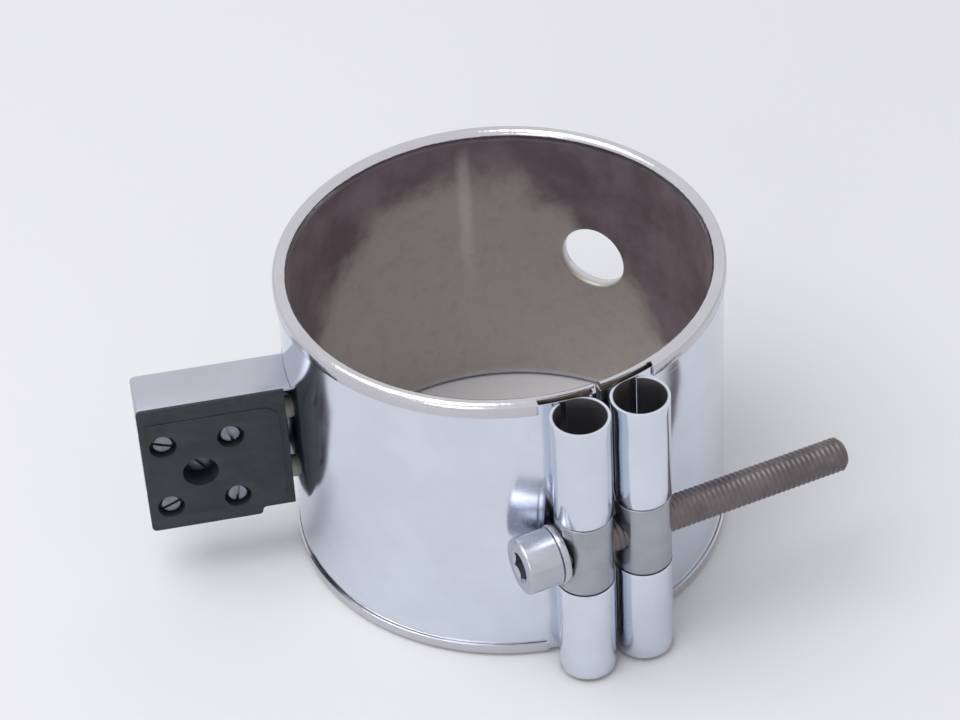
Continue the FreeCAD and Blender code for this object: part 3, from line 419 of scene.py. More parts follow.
class Finish:
    """A procedural material round a Principled shader, in Object coordinates."""

    def __init__(self, name):
        self.material = bpy.data.materials.new(name)
        self.material.use_nodes = True
        self.nodes, self.links = (self.material.node_tree.nodes,
                                  self.material.node_tree.links)
        self.shader = self.nodes["Principled BSDF"]
        self.place = self.add("ShaderNodeTexCoord", output="Object")

    def add(self, kind, settings=None, inputs=None, output=0):
        """A node: its settings first, then the values or links of its sockets."""
        node = self.nodes.new(kind)
        for name, value in (settings or {}).items():
            if name == "stops":
                ramp = node.color_ramp
                while len(ramp.elements) < len(value):
                    ramp.elements.new(0.5)
                for element, (position, shade) in zip(ramp.elements, value):
                    element.position, element.color = position, (*shade, 1)
            else:
                setattr(node, name, value)
        for name, value in (inputs or {}).items():
            self.feed(node.inputs[name], value)
        return Amount(self, node.outputs[output])

    def feed(self, socket, value):
        if isinstance(value, Amount):
            self.links.new(value.socket, socket)
        elif socket.type == "RGBA":
            socket.default_value = (*value[:3], 1)
        else:
            socket.default_value = value

    def parts(self):
        """The three coordinates of a point."""
        split = self.add("ShaderNodeSeparateXYZ", inputs={0: self.place}).socket.node
        return [Amount(self, socket) for socket in split.outputs]

    def round_band(self):
        """A point as its run round the band from the split, its radius and its height."""
        x, y, z = self.parts()
        radius = (x * x + y * y).math("SQRT")
        run = x.math("ARCTAN2", y) * STRAP_OUT
        return run, radius, z

    def joined(self, x, y, z):
        return self.add("ShaderNodeCombineXYZ", inputs={0: x, 1: y, 2: z})

    def noise(self, size, detail=3.0, rough=0.5, stretch=(1, 1, 1), place=None):
        """Cloudy variation from 0 to 1, with patches of about a size."""
        where = self.add("ShaderNodeMapping", inputs={"Vector": place or self.place,
                                                      "Scale": stretch})
        return self.add("ShaderNodeTexNoise", {"noise_dimensions": "3D"},
                        {"Vector": where, "Scale": 1 / size, "Detail": detail,
                         "Roughness": rough})

    def ramp(self, value, low, high, least=0.0, most=1.0):
        """A smooth passage from one number to another as a value goes from low to high."""
        return self.add("ShaderNodeMapRange", {"interpolation_type": "SMOOTHSTEP"},
                        {"Value": value, "From Min": low, "From Max": high,
                         "To Min": least, "To Max": most})

    def blend(self, share, first, second):
        """A colour between two."""
        return self.add("ShaderNodeMix", {"data_type": "RGBA"}, {0: share, 6: first, 7: second},
                        output=2)

    def relief(self, height, depth, below=None):
        """A surface raised by a height of 0 to 1 times a depth."""
        inputs = {"Height": height, "Distance": depth, "Strength": 1.0}
        if below:
            inputs["Normal"] = below
        return self.add("ShaderNodeBump", inputs=inputs)

    def dress(self, **inputs):
        for name, value in inputs.items():
            self.feed(self.shader.inputs[name.replace("_", " ")], value)
        return self.material


def scaled(shade, factor):
    return [min(1.0, part * factor) for part in shade]


def brushed_sheet(name, shade, gloss, round_sheet=True, wave=0.00012):
    """Stainless sheet, polished along its length, with soft dents, smears and fine scratches."""
    finish = Finish(name)
    if round_sheet:
        run, radius, z = finish.round_band()
        place = finish.joined(run, radius, z)
    else:
        place = finish.place
    grain = finish.noise(0.0011, 4.0, 0.6, (0.03, 1, 6), place)
    scratches = finish.ramp(finish.noise(0.0016, 2.0, 0.5, (0.02, 1, 9), place), 0.66, 0.74)
    smears = finish.noise(0.016, 4.0, 0.55)
    dents = finish.noise(0.022, 1.0, 0.4)
    spots = finish.ramp(finish.noise(0.0042, 3.0, 0.6), 0.62, 0.78)
    tone = finish.blend(finish.ramp(smears, 0.3, 0.75), scaled(shade, 0.95), scaled(shade, 1.03))
    tone = finish.blend(spots * 0.15, tone, scaled(shade, 0.78))
    rough = gloss + (smears - 0.5) * 0.06 + grain * 0.04 + scratches * 0.06 + spots * 0.04
    if round_sheet:
        # the knuckles' insides, never polished, with painted shade darkening the hollow of each tube
        x, y, z = finish.parts()
        aside, ahead = abs(x) - THREADED_BARREL.x, y - THREADED_BARREL.y
        eye = (aside * aside + ahead * ahead).math("SQRT")
        painted_shade_inside = finish.ramp(eye, 6.05 * MM, 5.85 * MM)
        tone = finish.blend(painted_shade_inside, tone, (0.26, 0.245, 0.26))
        rough = rough + painted_shade_inside * 0.3
    bump = finish.relief(dents, wave * 6)
    bump = finish.relief(grain - scratches * 0.6, 0.000004, bump)
    return finish.dress(Base_Color=tone, Metallic=1.0, Roughness=rough, Normal=bump)


def sheath_steel(colours):
    """Sheet dulled and stained by heat inside the band, left bright over the rolled rims."""
    finish = Finish("heat_stained_sheath")
    run, radius, z = finish.round_band()
    place = finish.joined(run, radius, z)
    clouds = finish.noise(0.013, 4.0, 0.6)
    mottle = finish.noise(0.0035, 4.0, 0.62)
    grain = finish.noise(0.0010, 3.0, 0.6, (0.05, 1, 4), place)
    # cooler sheet opposite the clamp: a pale patch, arched at its top
    aside = (run - 0.009) * 18.0
    crest = 0.027 - aside * aside * 0.034 + (clouds - 0.5) * 0.022
    patch = finish.ramp(crest - z, -0.004, 0.010) * finish.ramp(mottle, 0.15, 0.6, 0.72, 1.0)
    # painted highlight: a narrow bright vertical streak up the wall opposite the clamp, standing in for a lamp's
    # reflection in the curved sheet
    painted_highlight_streak = finish.ramp(abs(run - 0.0125 + (clouds - 0.5) * 0.003), 0.0026, 0.0004) * \
        finish.ramp(z, -0.012, 0.012) * finish.ramp(z, 0.036, 0.026)
    tone = finish.blend(finish.ramp(clouds, 0.3, 0.72), colours.stain, colours.bore)
    tone = finish.blend(patch, tone, colours.pale)
    tone = finish.blend(painted_highlight_streak * 0.45, tone, scaled(colours.pale, 1.6))
    tone = finish.blend(finish.ramp(mottle, 0.58, 0.8) * 0.3, tone, scaled(colours.stain, 1.3))
    bright = finish.ramp(abs(z), RIM_TOP - 0.0030, RIM_TOP - 0.0014).most(
        finish.ramp(radius, BORE + 0.0010, BORE + 0.0016))
    bead = finish.blend(finish.ramp(clouds, 0.4, 0.75), scaled(colours.bead, 0.93), colours.bead)
    rough = 0.44 + clouds * 0.14 + mottle * 0.06
    shine = 0.15 + (clouds - 0.5) * 0.10 + grain * 0.05
    rough = rough + (shine - rough) * bright
    bump = finish.relief(clouds, 0.0004)
    bump = finish.relief(grain + mottle * 0.5, 0.000006, bump)
    return finish.dress(Base_Color=finish.blend(bright, tone, bead), Roughness=rough,
                        Metallic=0.82 + bright * 0.18, Normal=bump)


def turned_steel(name, shade, centre, axis=2, tool=0.00035, gloss=0.26):
    """Steel off the lathe: fine rings of the tool about its axis, and faint oil."""
    finish = Finish(name)
    x, y, z = finish.parts()
    along = (x, y, z)[axis]
    rings = finish.noise(tool, 2.0, 0.5, place=finish.joined(along, 0.0, 0.0))
    oil = finish.noise(0.006, 3.0, 0.55)
    fine = finish.noise(0.0009, 3.0, 0.6)
    tone = finish.blend(finish.ramp(oil, 0.3, 0.75), scaled(shade, 0.92), scaled(shade, 1.05))
    bump = finish.relief(rings, 0.000012)
    bump = finish.relief(fine, 0.000003, bump)
    return finish.dress(Base_Color=tone, Metallic=1.0, Normal=bump,
                        Roughness=gloss + rings * 0.08 + (oil - 0.5) * 0.14)


def screw_steel(colours):
    """Machined bright at the head and washer, brown and oiled along the shank."""
    finish = Finish("screw_steel_bright_and_oiled")
    x, y, z = finish.parts()
    oil = finish.noise(0.007, 3.0, 0.55)
    fine = finish.noise(0.0011, 3.0, 0.6)
    rings = finish.noise(0.0004, 2.0, 0.5, place=finish.joined(x, 0.0, 0.0))
    shank = finish.ramp(x, SCREW_SEAT.x + 0.0012, SCREW_SEAT.x + 0.0018)
    bright = finish.blend(finish.ramp(oil, 0.35, 0.7), scaled(colours.head, 0.86), colours.head)
    dull = finish.blend(finish.ramp(oil, 0.3, 0.75), scaled(colours.shank, 0.80),
                        scaled(colours.shank, 1.2))
    bump = finish.relief(rings + fine, 0.000006)
    return finish.dress(Base_Color=finish.blend(shank, bright, dull), Metallic=1.0,
                        Roughness=0.24 + shank * 0.12 + (oil - 0.5) * 0.10 + fine * 0.05,
                        Normal=bump)


def black_moulding(colours):
    """Heat-proof moulding: fine pebbled skin, flow marks and a little dust."""
    finish = Finish("black_heatproof_moulding")
    pebble = finish.noise(0.00055, 3.0, 0.6)
    flow = finish.noise(0.008, 3.0, 0.5, (1, 1, 2.5))
    dust = finish.ramp(finish.noise(0.0032, 4.0, 0.65), 0.5, 0.8)
    tone = finish.blend(finish.ramp(flow, 0.35, 0.7), scaled(colours.moulding, 0.8),
                        scaled(colours.moulding, 1.25))
    tone = finish.blend(dust * 0.08, tone, (0.16, 0.16, 0.17))
    return finish.dress(Base_Color=tone, Roughness=0.42 + flow * 0.12 + dust * 0.12,
                        Normal=finish.relief(pebble, 0.00004), Specular_IOR_Level=0.45)


def plated_steel(name, shade, gloss=0.30):
    """Small plated hardware, a little cloudy, with handling marks."""
    finish = Finish(name)
    cloud = finish.noise(0.0022, 4.0, 0.6)
    fine = finish.noise(0.0004, 3.0, 0.6)
    tarnish = finish.ramp(finish.noise(0.0012, 3.0, 0.6), 0.55, 0.8)
    tone = finish.blend(finish.ramp(cloud, 0.3, 0.7), scaled(shade, 0.78), scaled(shade, 1.1))
    tone = finish.blend(tarnish * 0.4, tone, scaled(shade, 0.5))
    return finish.dress(Base_Color=tone, Metallic=1.0, Normal=finish.relief(fine, 0.00001),
                        Roughness=gloss + (cloud - 0.5) * 0.16 + tarnish * 0.12)


def pressed_mica(colours):
    """Pressed flakes of mica: pale overlapping scales with a dull glint."""
    finish = Finish("pressed_mica")
    flakes = finish.add("ShaderNodeTexVoronoi", {"feature": "F1"},
                        {"Vector": finish.place, "Scale": 260.0}, output="Distance")
    cloud = finish.noise(0.005, 4.0, 0.6)
    tone = finish.blend(finish.ramp(flakes, 0.1, 0.8), scaled(colours.mica, 1.25),
                        scaled(colours.mica, 0.75))
    tone = finish.blend(cloud * 0.5, tone, scaled(colours.mica, 0.6))
    return finish.dress(Base_Color=tone, Roughness=0.35 + flakes * 0.3,
                        Normal=finish.relief(flakes, 0.00003))


def fired_ceramic(colours):
    """Unglazed steatite with a fine chalky skin."""
    finish = Finish("fired_ceramic")
    chalk = finish.noise(0.0009, 4.0, 0.65)
    cloud = finish.noise(0.005, 3.0, 0.5)
    tone = finish.blend(finish.ramp(cloud, 0.3, 0.7), scaled(colours.ceramic, 0.88),
                        colours.ceramic)
    return finish.dress(Base_Color=tone, Roughness=0.55 + chalk * 0.2,
                        Normal=finish.relief(chalk, 0.00002))


# ---------------------------------------------------------------- pieces
class BandHeaterSheath(bpy.types.Operator):
    """Roll the sheath: the bore wall, both rims, the end hems and the probe hole's collar"""
    bl_idname = "band_heater.sheath"
    bl_label = "Inner sheath"

    def execute(self, context):
        sizes = context.scene.band_heater_sheets
        wall = BORE + sizes.sheath / 2
        crown, roll = BORE + sizes.rim / 2, (sizes.rim - sizes.sheath) / 2
        rise = RIM_TOP - sizes.rim / 2
        relief = STRAP_OUT - sizes.strap - 0.05 * MM
        share = math.degrees(math.acos((relief - crown) / roll))
        sheath = start("inner_sheath_rolled", (0, crown + roll, sizes.hem - rise))
        pull((0, 0, -sizes.hem))
        swing((0, crown, -rise), ACROSS, -share, 7)
        swing((0, crown, -rise), ACROSS, share - 180, 9)
        for row in range(sizes.rows):
            pull((0, 0, 2 * rise / sizes.rows))
        swing((0, crown, rise), ACROSS, share - 180, 9)
        swing((0, crown, rise), ACROSS, -share, 7)
        pull((0, 0, -sizes.hem))
        bpy.ops.mesh.select_all(action="SELECT")
        swing((0, 0, 0), UP, 360, sizes.columns)
        stop()
        whole(sheath)

        # the split, and the rims cleared where the knuckles stand
        lip = (sizes.split + sizes.sheath) / 2
        clear = -PLAIN_BARREL.x + sizes.knuckle
        for side in (-1, 1):
            divide(sheath, (side * lip, 0, 0), ACROSS,
                   lambda at: abs(at.x) < 4 * MM and at.y < 0)
            divide(sheath, (side * clear, 0, 0), ACROSS,
                   lambda at: abs(at.x) < clear + 3 * MM and at.y < 0 and abs(at.z) > 33 * MM)
        drop(sheath, lambda at: at.y < 0 and (
            abs(at.x) < lip or (abs(at.x) < clear and at.xy.length > relief)))

        # the ends folded out and back over the layers
        out = relief + 0.2 * MM
        for side in (-1, 1):
            with editing(sheath):
                pick("edges", lambda at: at.y < 0 and abs(at.x - side * lip) < 0.01 * MM
                     and at.xy.length < wall + 0.2 * MM and abs(at.z) < rise, open_only=True)
                pull((0, wall - out, 0))
                back = sizes.end_hem - lip
                pull((side * back, out - math.sqrt(out ** 2 - sizes.end_hem ** 2), 0))
        self.draw_collar(sheath, sizes, wall)
        thicken(sheath, sizes.sheath)
        soften(sheath, sizes.edge, angle=50)
        finished(sheath, "band", "bore_steel", sheath_steel(context.scene.band_heater_colours),
                 "inner_sheath")
        return {"FINISHED"}

    def draw_collar(self, sheath, sizes, wall):
        """Pierce the wall and draw the hole's edge out to a flanged collar."""
        aside, root = UP.cross(PROBE_WAY), sizes.collar_root
        pipe = PROBE_RADIUS + sizes.sheath * 0.6
        cutter = bar("probe_cutter", pipe + root, PROBE - PROBE_WAY * 6 * MM,
                     PROBE + PROBE_WAY * 1.2 * MM)
        count = len(sheath.data.polygons)
        only(sheath, cutter)
        bpy.ops.object.join()
        with editing(sheath):
            bpy.ops.mesh.select_mode(type="FACE")
            bpy.ops.mesh.select_all(action="DESELECT")
            mesh = bmesh.from_edit_mesh(sheath.data)
            for face in mesh.faces:
                face.select_set(face.index >= count)
            bmesh.update_edit_mesh(sheath.data)
            bpy.ops.mesh.intersect(mode="SELECT_UNSELECT", separate_mode="NONE",
                                   threshold=1e-7, solver="EXACT")

        def near(at):
            off = at - PROBE
            return (off - PROBE_WAY * off.dot(PROBE_WAY)).length if off.dot(PROBE_WAY) > \
                -8 * MM else 1.0

        drop(sheath, lambda at: near(at) < pipe + root - 0.002 * MM or (
            near(at) < pipe + root + 0.05 * MM and abs(at.xy.length - wall) > 0.05 * MM))
        rise, flange = sizes.collar_rise, sizes.collar_flange
        steps = [(pipe + root * (1 - math.sin(turn)), root * (1 - math.cos(turn)))
                 for turn in (0.5, 1.0, math.pi / 2)]
        steps += [(pipe, rise / 2), (pipe, rise - root)]
        steps += [(pipe + root * (1 - math.cos(turn)), rise - root * (1 - math.sin(turn)))
                  for turn in (0.5, 1.0, math.pi / 2)]
        steps += [((pipe + root + flange) / 2, rise), (flange, rise)]
        with editing(sheath):
            pick("edges", lambda at: near(at) < pipe + root + 0.1 * MM, open_only=True)
            for radius, lift in steps:
                pull((0, 0, 0))
                mesh = bmesh.from_edit_mesh(sheath.data)
                for vertex in mesh.verts:
                    if vertex.select:
                        off = vertex.co - PROBE
                        side = off - PROBE_WAY * off.dot(PROBE_WAY)
                        side = side.normalized() * radius
                        depth = math.sqrt((wall + lift) ** 2 - side.dot(aside) ** 2)
                        vertex.co = UP * PROBE.z + side + PROBE_WAY * depth
                bmesh.update_edit_mesh(sheath.data)
        whole(sheath)


class BandHeaterStrap(bpy.types.Operator):
    """Roll the strap: round the band and into a full-height knuckle at each end"""
    bl_idname = "band_heater.strap"
    bl_label = "Clamp strap"

    def execute(self, context):
        sizes = context.scene.band_heater_sheets
        line, curl = STRAP_OUT - sizes.strap / 2, sizes.knuckle - sizes.strap / 2
        eye = PLAIN_BARREL.xy.length
        lean = math.degrees(math.asin(THREADED_BARREL.x / eye))
        closing = math.degrees(math.acos(
            (eye ** 2 + sizes.knuckle ** 2 - (STRAP_OUT + sizes.seam) ** 2)
            / (2 * eye * sizes.knuckle)))
        last = math.radians(90 + lean - closing)
        foot = Vector((THREADED_BARREL.x, THREADED_BARREL.y, -STRAP_TOP))
        strap = start("clamp_strap_rolled",
                      foot + curl * Vector((math.cos(last), math.sin(last), 0)))
        swing(foot, UP, closing - 360, 72)
        swing((0, 0, -STRAP_TOP), UP, 360 - 2 * lean, sizes.columns)
        swing((-foot.x, foot.y, foot.z), UP, closing - 360, 72)
        bpy.ops.mesh.select_all(action="SELECT")
        for row in range(sizes.rows):
            pull((0, 0, 2 * STRAP_TOP / sizes.rows))
        stop()
        whole(strap)

        # a window in each knuckle, cut on into the strap, for the barrel
        centre, half = PLAIN_BARREL.z, sizes.window / 2
        edge = sizes.window_edge
        shoulder = -math.sqrt(STRAP_OUT ** 2 - edge ** 2) - 0.2 * MM
        for height in (centre - half, centre + half):
            divide(strap, (0, 0, height), UP, lambda at: abs(at.x) < 18 * MM and at.y < 0)
        for side in (-1, 1):
            divide(strap, (side * edge, 0, 0), ACROSS,
                   lambda at: abs(at.x) < 12 * MM and 0 > at.y > shoulder)
        drop(strap, lambda at: abs(at.z - centre) < half and at.y < 0
             and (abs(at.x) < edge or (at.y < shoulder and abs(at.x) < 15 * MM)))
        thicken(strap, sizes.strap)
        box = context.scene.band_heater_box
        cutters = [bar("probe_way", sizes.probe_way, PROBE - PROBE_WAY * 5 * MM,
                       PROBE + PROBE_WAY * 5 * MM)]
        for pole in poles(box):
            first = BOX_FRAME @ Vector((STRAP_OUT - 4 * MM, 0, pole))
            cutters.append(bar("bush_way", sizes.bush_way, first, first + BOX_WAY * 8 * MM, 48))
        carve(strap, *cutters)
        soften(strap, sizes.edge, angle=50)
        finished(strap, "band", "polished_steel", brushed_sheet(
            "polished_strap", context.scene.band_heater_colours.strap, 0.13), "clamp_strap")
        return {"FINISHED"}


class BandHeaterBarrels(bpy.types.Operator):
    """Turn the two barrels, bore them across, and face a flat for the washer"""
    bl_idname = "band_heater.barrels"
    bl_label = "Barrels"

    def execute(self, context):
        sizes = context.scene.band_heater_clamp
        shade = context.scene.band_heater_colours.turned
        half, end = sizes.barrel_height / 2, sizes.barrel_height / 2 + sizes.journal_height
        side = [(sizes.journal - sizes.chamfer, end), (sizes.journal, end - sizes.chamfer),
                (sizes.journal, half), (sizes.barrel - 0.15 * MM, half),
                (sizes.barrel, half - 0.15 * MM)]
        profile = [(0, -end), *[(radius, -height) for radius, height in side],
                   *reversed(side), (0, end)]
        for node, centre, way in (("plain_barrel", PLAIN_BARREL, sizes.plain_way),
                                  ("threaded_barrel", THREADED_BARREL, sizes.thread_way)):
            barrel = turned(node + "_turned", profile, centre)
            reach = ACROSS * 2 * sizes.barrel
            carve(barrel, bar("way", way, centre - reach, centre + reach, 64))
            if node == "plain_barrel":
                face = centre - ACROSS * (-SCREW_SEAT.x + centre.x - sizes.washer_sheet
                                          - 0.04 * MM)
                carve(barrel, bar("flat", sizes.flat, face - ACROSS * 4 * MM, face, 128))
            soften(barrel, 0.12 * MM, angle=40)
            finished(barrel, node, "turned_steel",
                     turned_steel(node + "_steel", shade, centre), node)
        return {"FINISHED"}


class BandHeaterScrew(bpy.types.Operator):
    """Make the socket head screw with its thread, and the washer under its head"""
    bl_idname = "band_heater.screw"
    bl_label = "Clamp screw and washer"

    def execute(self, context):
        sizes = context.scene.band_heater_clamp
        steel = screw_steel(context.scene.band_heater_colours)
        top, tip = SCREW_HEAD - SCREW_SEAT.x, SCREW_TIP - SCREW_SEAT.x
        edge, point = sizes.head_edge, 0.9 * MM
        neck = 4.0 * MM
        rows = int((tip - point - neck) / (sizes.pitch / 8))
        profile = [(0, top), (sizes.head * 0.62, top)]
        profile += [(sizes.head - edge + out, top + edge - down) for out, down in
                    arc(0, 0, edge, 90, 0, 6)]
        profile += [(sizes.head, -0.3 * MM), (sizes.head - 0.3 * MM, 0), (sizes.screw, 0)]
        profile += [(sizes.screw, neck + (tip - point - neck) * row / rows)
                    for row in range(rows + 1)]
        profile += [(sizes.screw - point, tip), (0, tip)]
        screw = turned("clamp_screw_threaded", profile, SCREW_SEAT, ACROSS, steps=72)
        with editing(screw):
            mesh = bmesh.from_edit_mesh(screw.data)
            for vertex in mesh.verts:
                off = vertex.co - SCREW_SEAT
                if off.x > neck - 0.01 * MM and off.yz.length > sizes.screw / 2:
                    turn = math.atan2(off.z, off.y) / (2 * math.pi)
                    wave = math.cos(2 * math.pi * (off.x / sizes.pitch - turn))
                    start_in = min(1.0, (off.x - neck) / sizes.pitch)
                    shrink = 1 - sizes.thread * (0.5 - 0.5 * wave) * start_in / sizes.screw
                    vertex.co = SCREW_SEAT + Vector((off.x, off.y * shrink, off.z * shrink))
            bmesh.update_edit_mesh(screw.data)
        reach = sizes.hexagon / math.sqrt(3)
        mouth = SCREW_SEAT + ACROSS * (top - 1 * MM)
        socket = slab("hex_cutter", [
            mouth + reach * Vector((0, math.sin(math.radians(turn)), math.cos(math.radians(turn))))
            for turn in range(0, 360, 60)], ACROSS * (sizes.socket + 1 * MM))
        floor = top + sizes.socket
        drill = turned("drill_cutter", [(0, floor - 0.1 * MM), (sizes.hexagon / 2, floor - 0.1 * MM),
                                        (sizes.hexagon / 2, floor), (0, floor + 1.4 * MM)],
                       SCREW_SEAT, ACROSS, 48)
        lead_in = turned("lead_in_cutter", [(0, top - 1 * MM), (reach + 1.2 * MM, top - 1 * MM),
                                            (reach - 0.4 * MM, top + 0.6 * MM),
                                            (0, top + 0.6 * MM)], SCREW_SEAT, ACROSS, 48)
        carve(screw, socket, drill, lead_in)
        finished(screw, "screw", "screw_steel", steel, "clamp_screw")

        bevel, eye, rim = 0.25 * MM, sizes.washer_way, sizes.washer
        sheet = sizes.washer_sheet
        washer = turned("screw_washer_pressed", [
            (eye + bevel / 2, 0), (rim - bevel, 0), (rim - bevel * 0.3, bevel * 0.3), (rim, bevel),
            (rim, sheet - bevel), (rim - bevel * 0.3, sheet - bevel * 0.3), (rim - bevel, sheet),
            (eye + bevel / 2, sheet), (eye, sheet - bevel / 2), (eye, bevel / 2)],
            SCREW_SEAT + ACROSS * 0.02 * MM, ACROSS, 96, closed=True)
        finished(washer, "washer", "screw_steel", steel, "screw_washer")
        return {"FINISHED"}


def poles(box):
    """The heights of the upper and lower row of terminals."""
    return box.pole_space / 2 - box.pole_drop, -box.pole_space / 2 - box.pole_drop


def posts(box):
    """How far out the inner and outer screws of a row stand."""
    place = STRAP_OUT + box.reach
    return place - box.screw_space / 2, place + box.screw_space / 2


def rounded_blank(name, low, high, bend, back):
    """A block whose far edges are bent round, and its back edges a little."""
    piece = block(name, low, high)
    with editing(piece):
        pick("edges", lambda at: abs(at.x - high[0]) < 1e-6 and abs(at.y) < 0.5 * MM)
        bpy.ops.mesh.bevel(offset=bend, segments=8, affect="EDGES")
        if back:
            pick("edges", lambda at: abs(at.y - low[1]) < 1e-6 and at.x > low[0] + 1e-6)
            bpy.ops.mesh.bevel(offset=back, segments=5, affect="EDGES")
    return piece


class BandHeaterTerminalBox(bpy.types.Operator):
    """Fold the terminal box from sheet, with its foot, notch and holes"""
    bl_idname = "band_heater.terminal_box"
    bl_label = "Terminal box"

    def execute(self, context):
        sizes = context.scene.band_heater_box
        front, sheet = sizes.depth / 2, sizes.sheet
        near = STRAP_OUT - 3 * MM
        shell = rounded_blank("box_shell_folded", (near, -front, -BOX_TOP),
                              (BOX_END, front, BOX_TOP), sizes.bend, 0.6 * MM)
        hollow = rounded_blank("hollow", (near - MM, sheet - front, sheet - BOX_TOP),
                               (BOX_END - sheet, 2 * front, BOX_TOP - sheet), sizes.bend - sheet,
                               0)
        inner = STRAP_OUT + 0.05 * MM
        away = -Vector((0, 0, 1)) * 60 * MM
        cutters = [hollow, bar("band", inner, away, -away, 360),
                   block("notch", (near - 2 * MM, -2 * front, -2 * BOX_TOP),
                         (STRAP_OUT + sizes.notch, 2 * front, sizes.step - BOX_TOP)),
                   bar("fixing", 1.6 * MM, (STRAP_OUT + sizes.reach, -2 * front, -sizes.pole_drop),
                       (STRAP_OUT + sizes.reach, 0, -sizes.pole_drop), 48)]
        cutters += [bar("line_hole", sizes.line_hole, (BOX_END - 3 * MM, 0, pole),
                        (BOX_END + 2 * MM, 0, pole), 64) for pole in poles(sizes)]
        carve(shell, *cutters)

        # the foot lies back along the strap on the hidden side
        first = -math.degrees(math.asin((front - sheet) / STRAP_OUT)) + 1
        span = math.degrees(sizes.foot / STRAP_OUT) + 1
        points = arc(0, 0, inner, first, first - span, 16) + arc(0, 0, inner + sheet,
                                                                 first - span, first, 16)
        foot = slab("foot", [(x, y, -sizes.foot_height / 2) for x, y in points],
                    (0, 0, sizes.foot_height))
        carve(shell, foot, operation="UNION")
        soften(shell, 0.12 * MM, angle=40)
        shell.data.transform(BOX_FRAME)
        finished(shell, "band", "box_steel", brushed_sheet(
            "folded_box_sheet", context.scene.band_heater_colours.box, 0.27, False, 0.00006),
            "box_shell")
        return {"FINISHED"}


class BandHeaterMoulding(bpy.types.Operator):
    """Mould the terminal block: lip, rounded step, raised face, wells and bores"""
    bl_idname = "band_heater.moulding"
    bl_label = "Terminal block"

    def execute(self, context):
        sizes = context.scene.band_heater_box
        front, gap = sizes.depth / 2, sizes.gap + sizes.sheet
        near, far = STRAP_OUT + sizes.stand, BOX_END - gap
        notch, low, high = STRAP_OUT + sizes.notch, gap - BOX_TOP, BOX_TOP - gap
        step = sizes.step - BOX_TOP
        base = slab("terminal_block_moulded", [(x, front, z) for x, z in (
            (near, step + sizes.gap), (notch, step + sizes.gap), (notch, low), (far, low),
            (far, high), (near, high))], (0, sizes.sheet - sizes.depth, 0))

        turn, bend = sizes.step / 2, sizes.bend
        edge = [(near, step)] + arc(notch - turn, step - turn, turn, 90, 0) + \
            arc(notch + turn, turn - BOX_TOP, turn, 180, 270) + \
            arc(BOX_END - bend, bend - BOX_TOP, bend, -90, 0) + \
            arc(BOX_END - bend, BOX_TOP - bend, bend, 0, 90) + [(near, BOX_TOP)]
        lip = slab("lip", [(x, front - 0.02 * MM, z) for x, z in edge],
                   (0, sizes.lip + 0.02 * MM, 0))
        soften(lip, 0.22 * MM, 3, 50)
        face = front + sizes.lip
        left, right = near + sizes.margin, far - sizes.margin / 2
        bottom, crest = low + sizes.step + sizes.margin / 2, high - sizes.top_margin
        corner = sizes.corner
        plate = [(left + corner, bottom), (right, bottom), (right, crest)] + \
            arc(left + corner, crest - corner, corner, 90, 180) + \
            arc(left + corner, bottom + corner, corner, 180, 270)
        raised = slab("raised_face", [(x, face - 0.02 * MM, z) for x, z in plate],
                      (0, sizes.face + 0.02 * MM, 0))
        soften(raised, 0.14 * MM, 3, 50)
        carve(base, lip, raised, operation="UNION")

        def sink(name, radius, x, z, floor, sides=72):
            return bar(name, radius, (x, face + 2 * MM, z), (x, floor, z), sides)

        middle_x = STRAP_OUT + sizes.reach
        cutters = [sink("fixing_well", sizes.fixing_well, middle_x, -sizes.pole_drop,
                        face - sizes.fixing_depth),
                   sink("fixing_way", 1.6 * MM, middle_x, -sizes.pole_drop, -2 * front, 40)]
        for pole in poles(sizes):
            for x in posts(sizes):
                cutters.append(sink("well", sizes.well, x, pole, face - sizes.well_depth))
                cutters.append(sink("way", 1.55 * MM, x, pole, 0, 40))
            cutters.append(bar("terminal_bore", sizes.bore, (near - 2 * MM, 0, pole),
                               (far + 2 * MM, 0, pole), 64))
        carve(base, *cutters)
        soften(base, 0.12 * MM, 2, 40)
        base.data.transform(BOX_FRAME)
        finished(base, "band", "black_moulding",
                 black_moulding(context.scene.band_heater_colours), "terminal_block")
        return {"FINISHED"}


def cheese_head(name, radius, height, shank, reach, slot):
    """A slotted screw along Y from its seat: domed a little, with a cut slot."""
    edge = 0.3 * MM
    profile = [(0, -reach), (shank - 0.2 * MM, -reach), (shank, 0.2 * MM - reach), (shank, 0),
               (radius - 0.1 * MM, 0), (radius, 0.1 * MM)]
    profile += [(radius - edge + out, height - edge - 0.12 * MM + up) for out, up in
                arc(0, 0, edge, 0, 90, 5)]
    profile += [(radius * 0.45, height - 0.03 * MM), (0, height)]
    screw = turned(name, profile, (0, 0, 0), (0, 1, 0), 64)
    half = slot / 2
    carve(screw, block("slot", (-half, height - 0.8 * MM, -2 * radius),
                       (half, height + MM, 2 * radius)))
    soften(screw, 0.05 * MM, 2, 40)
    return screw


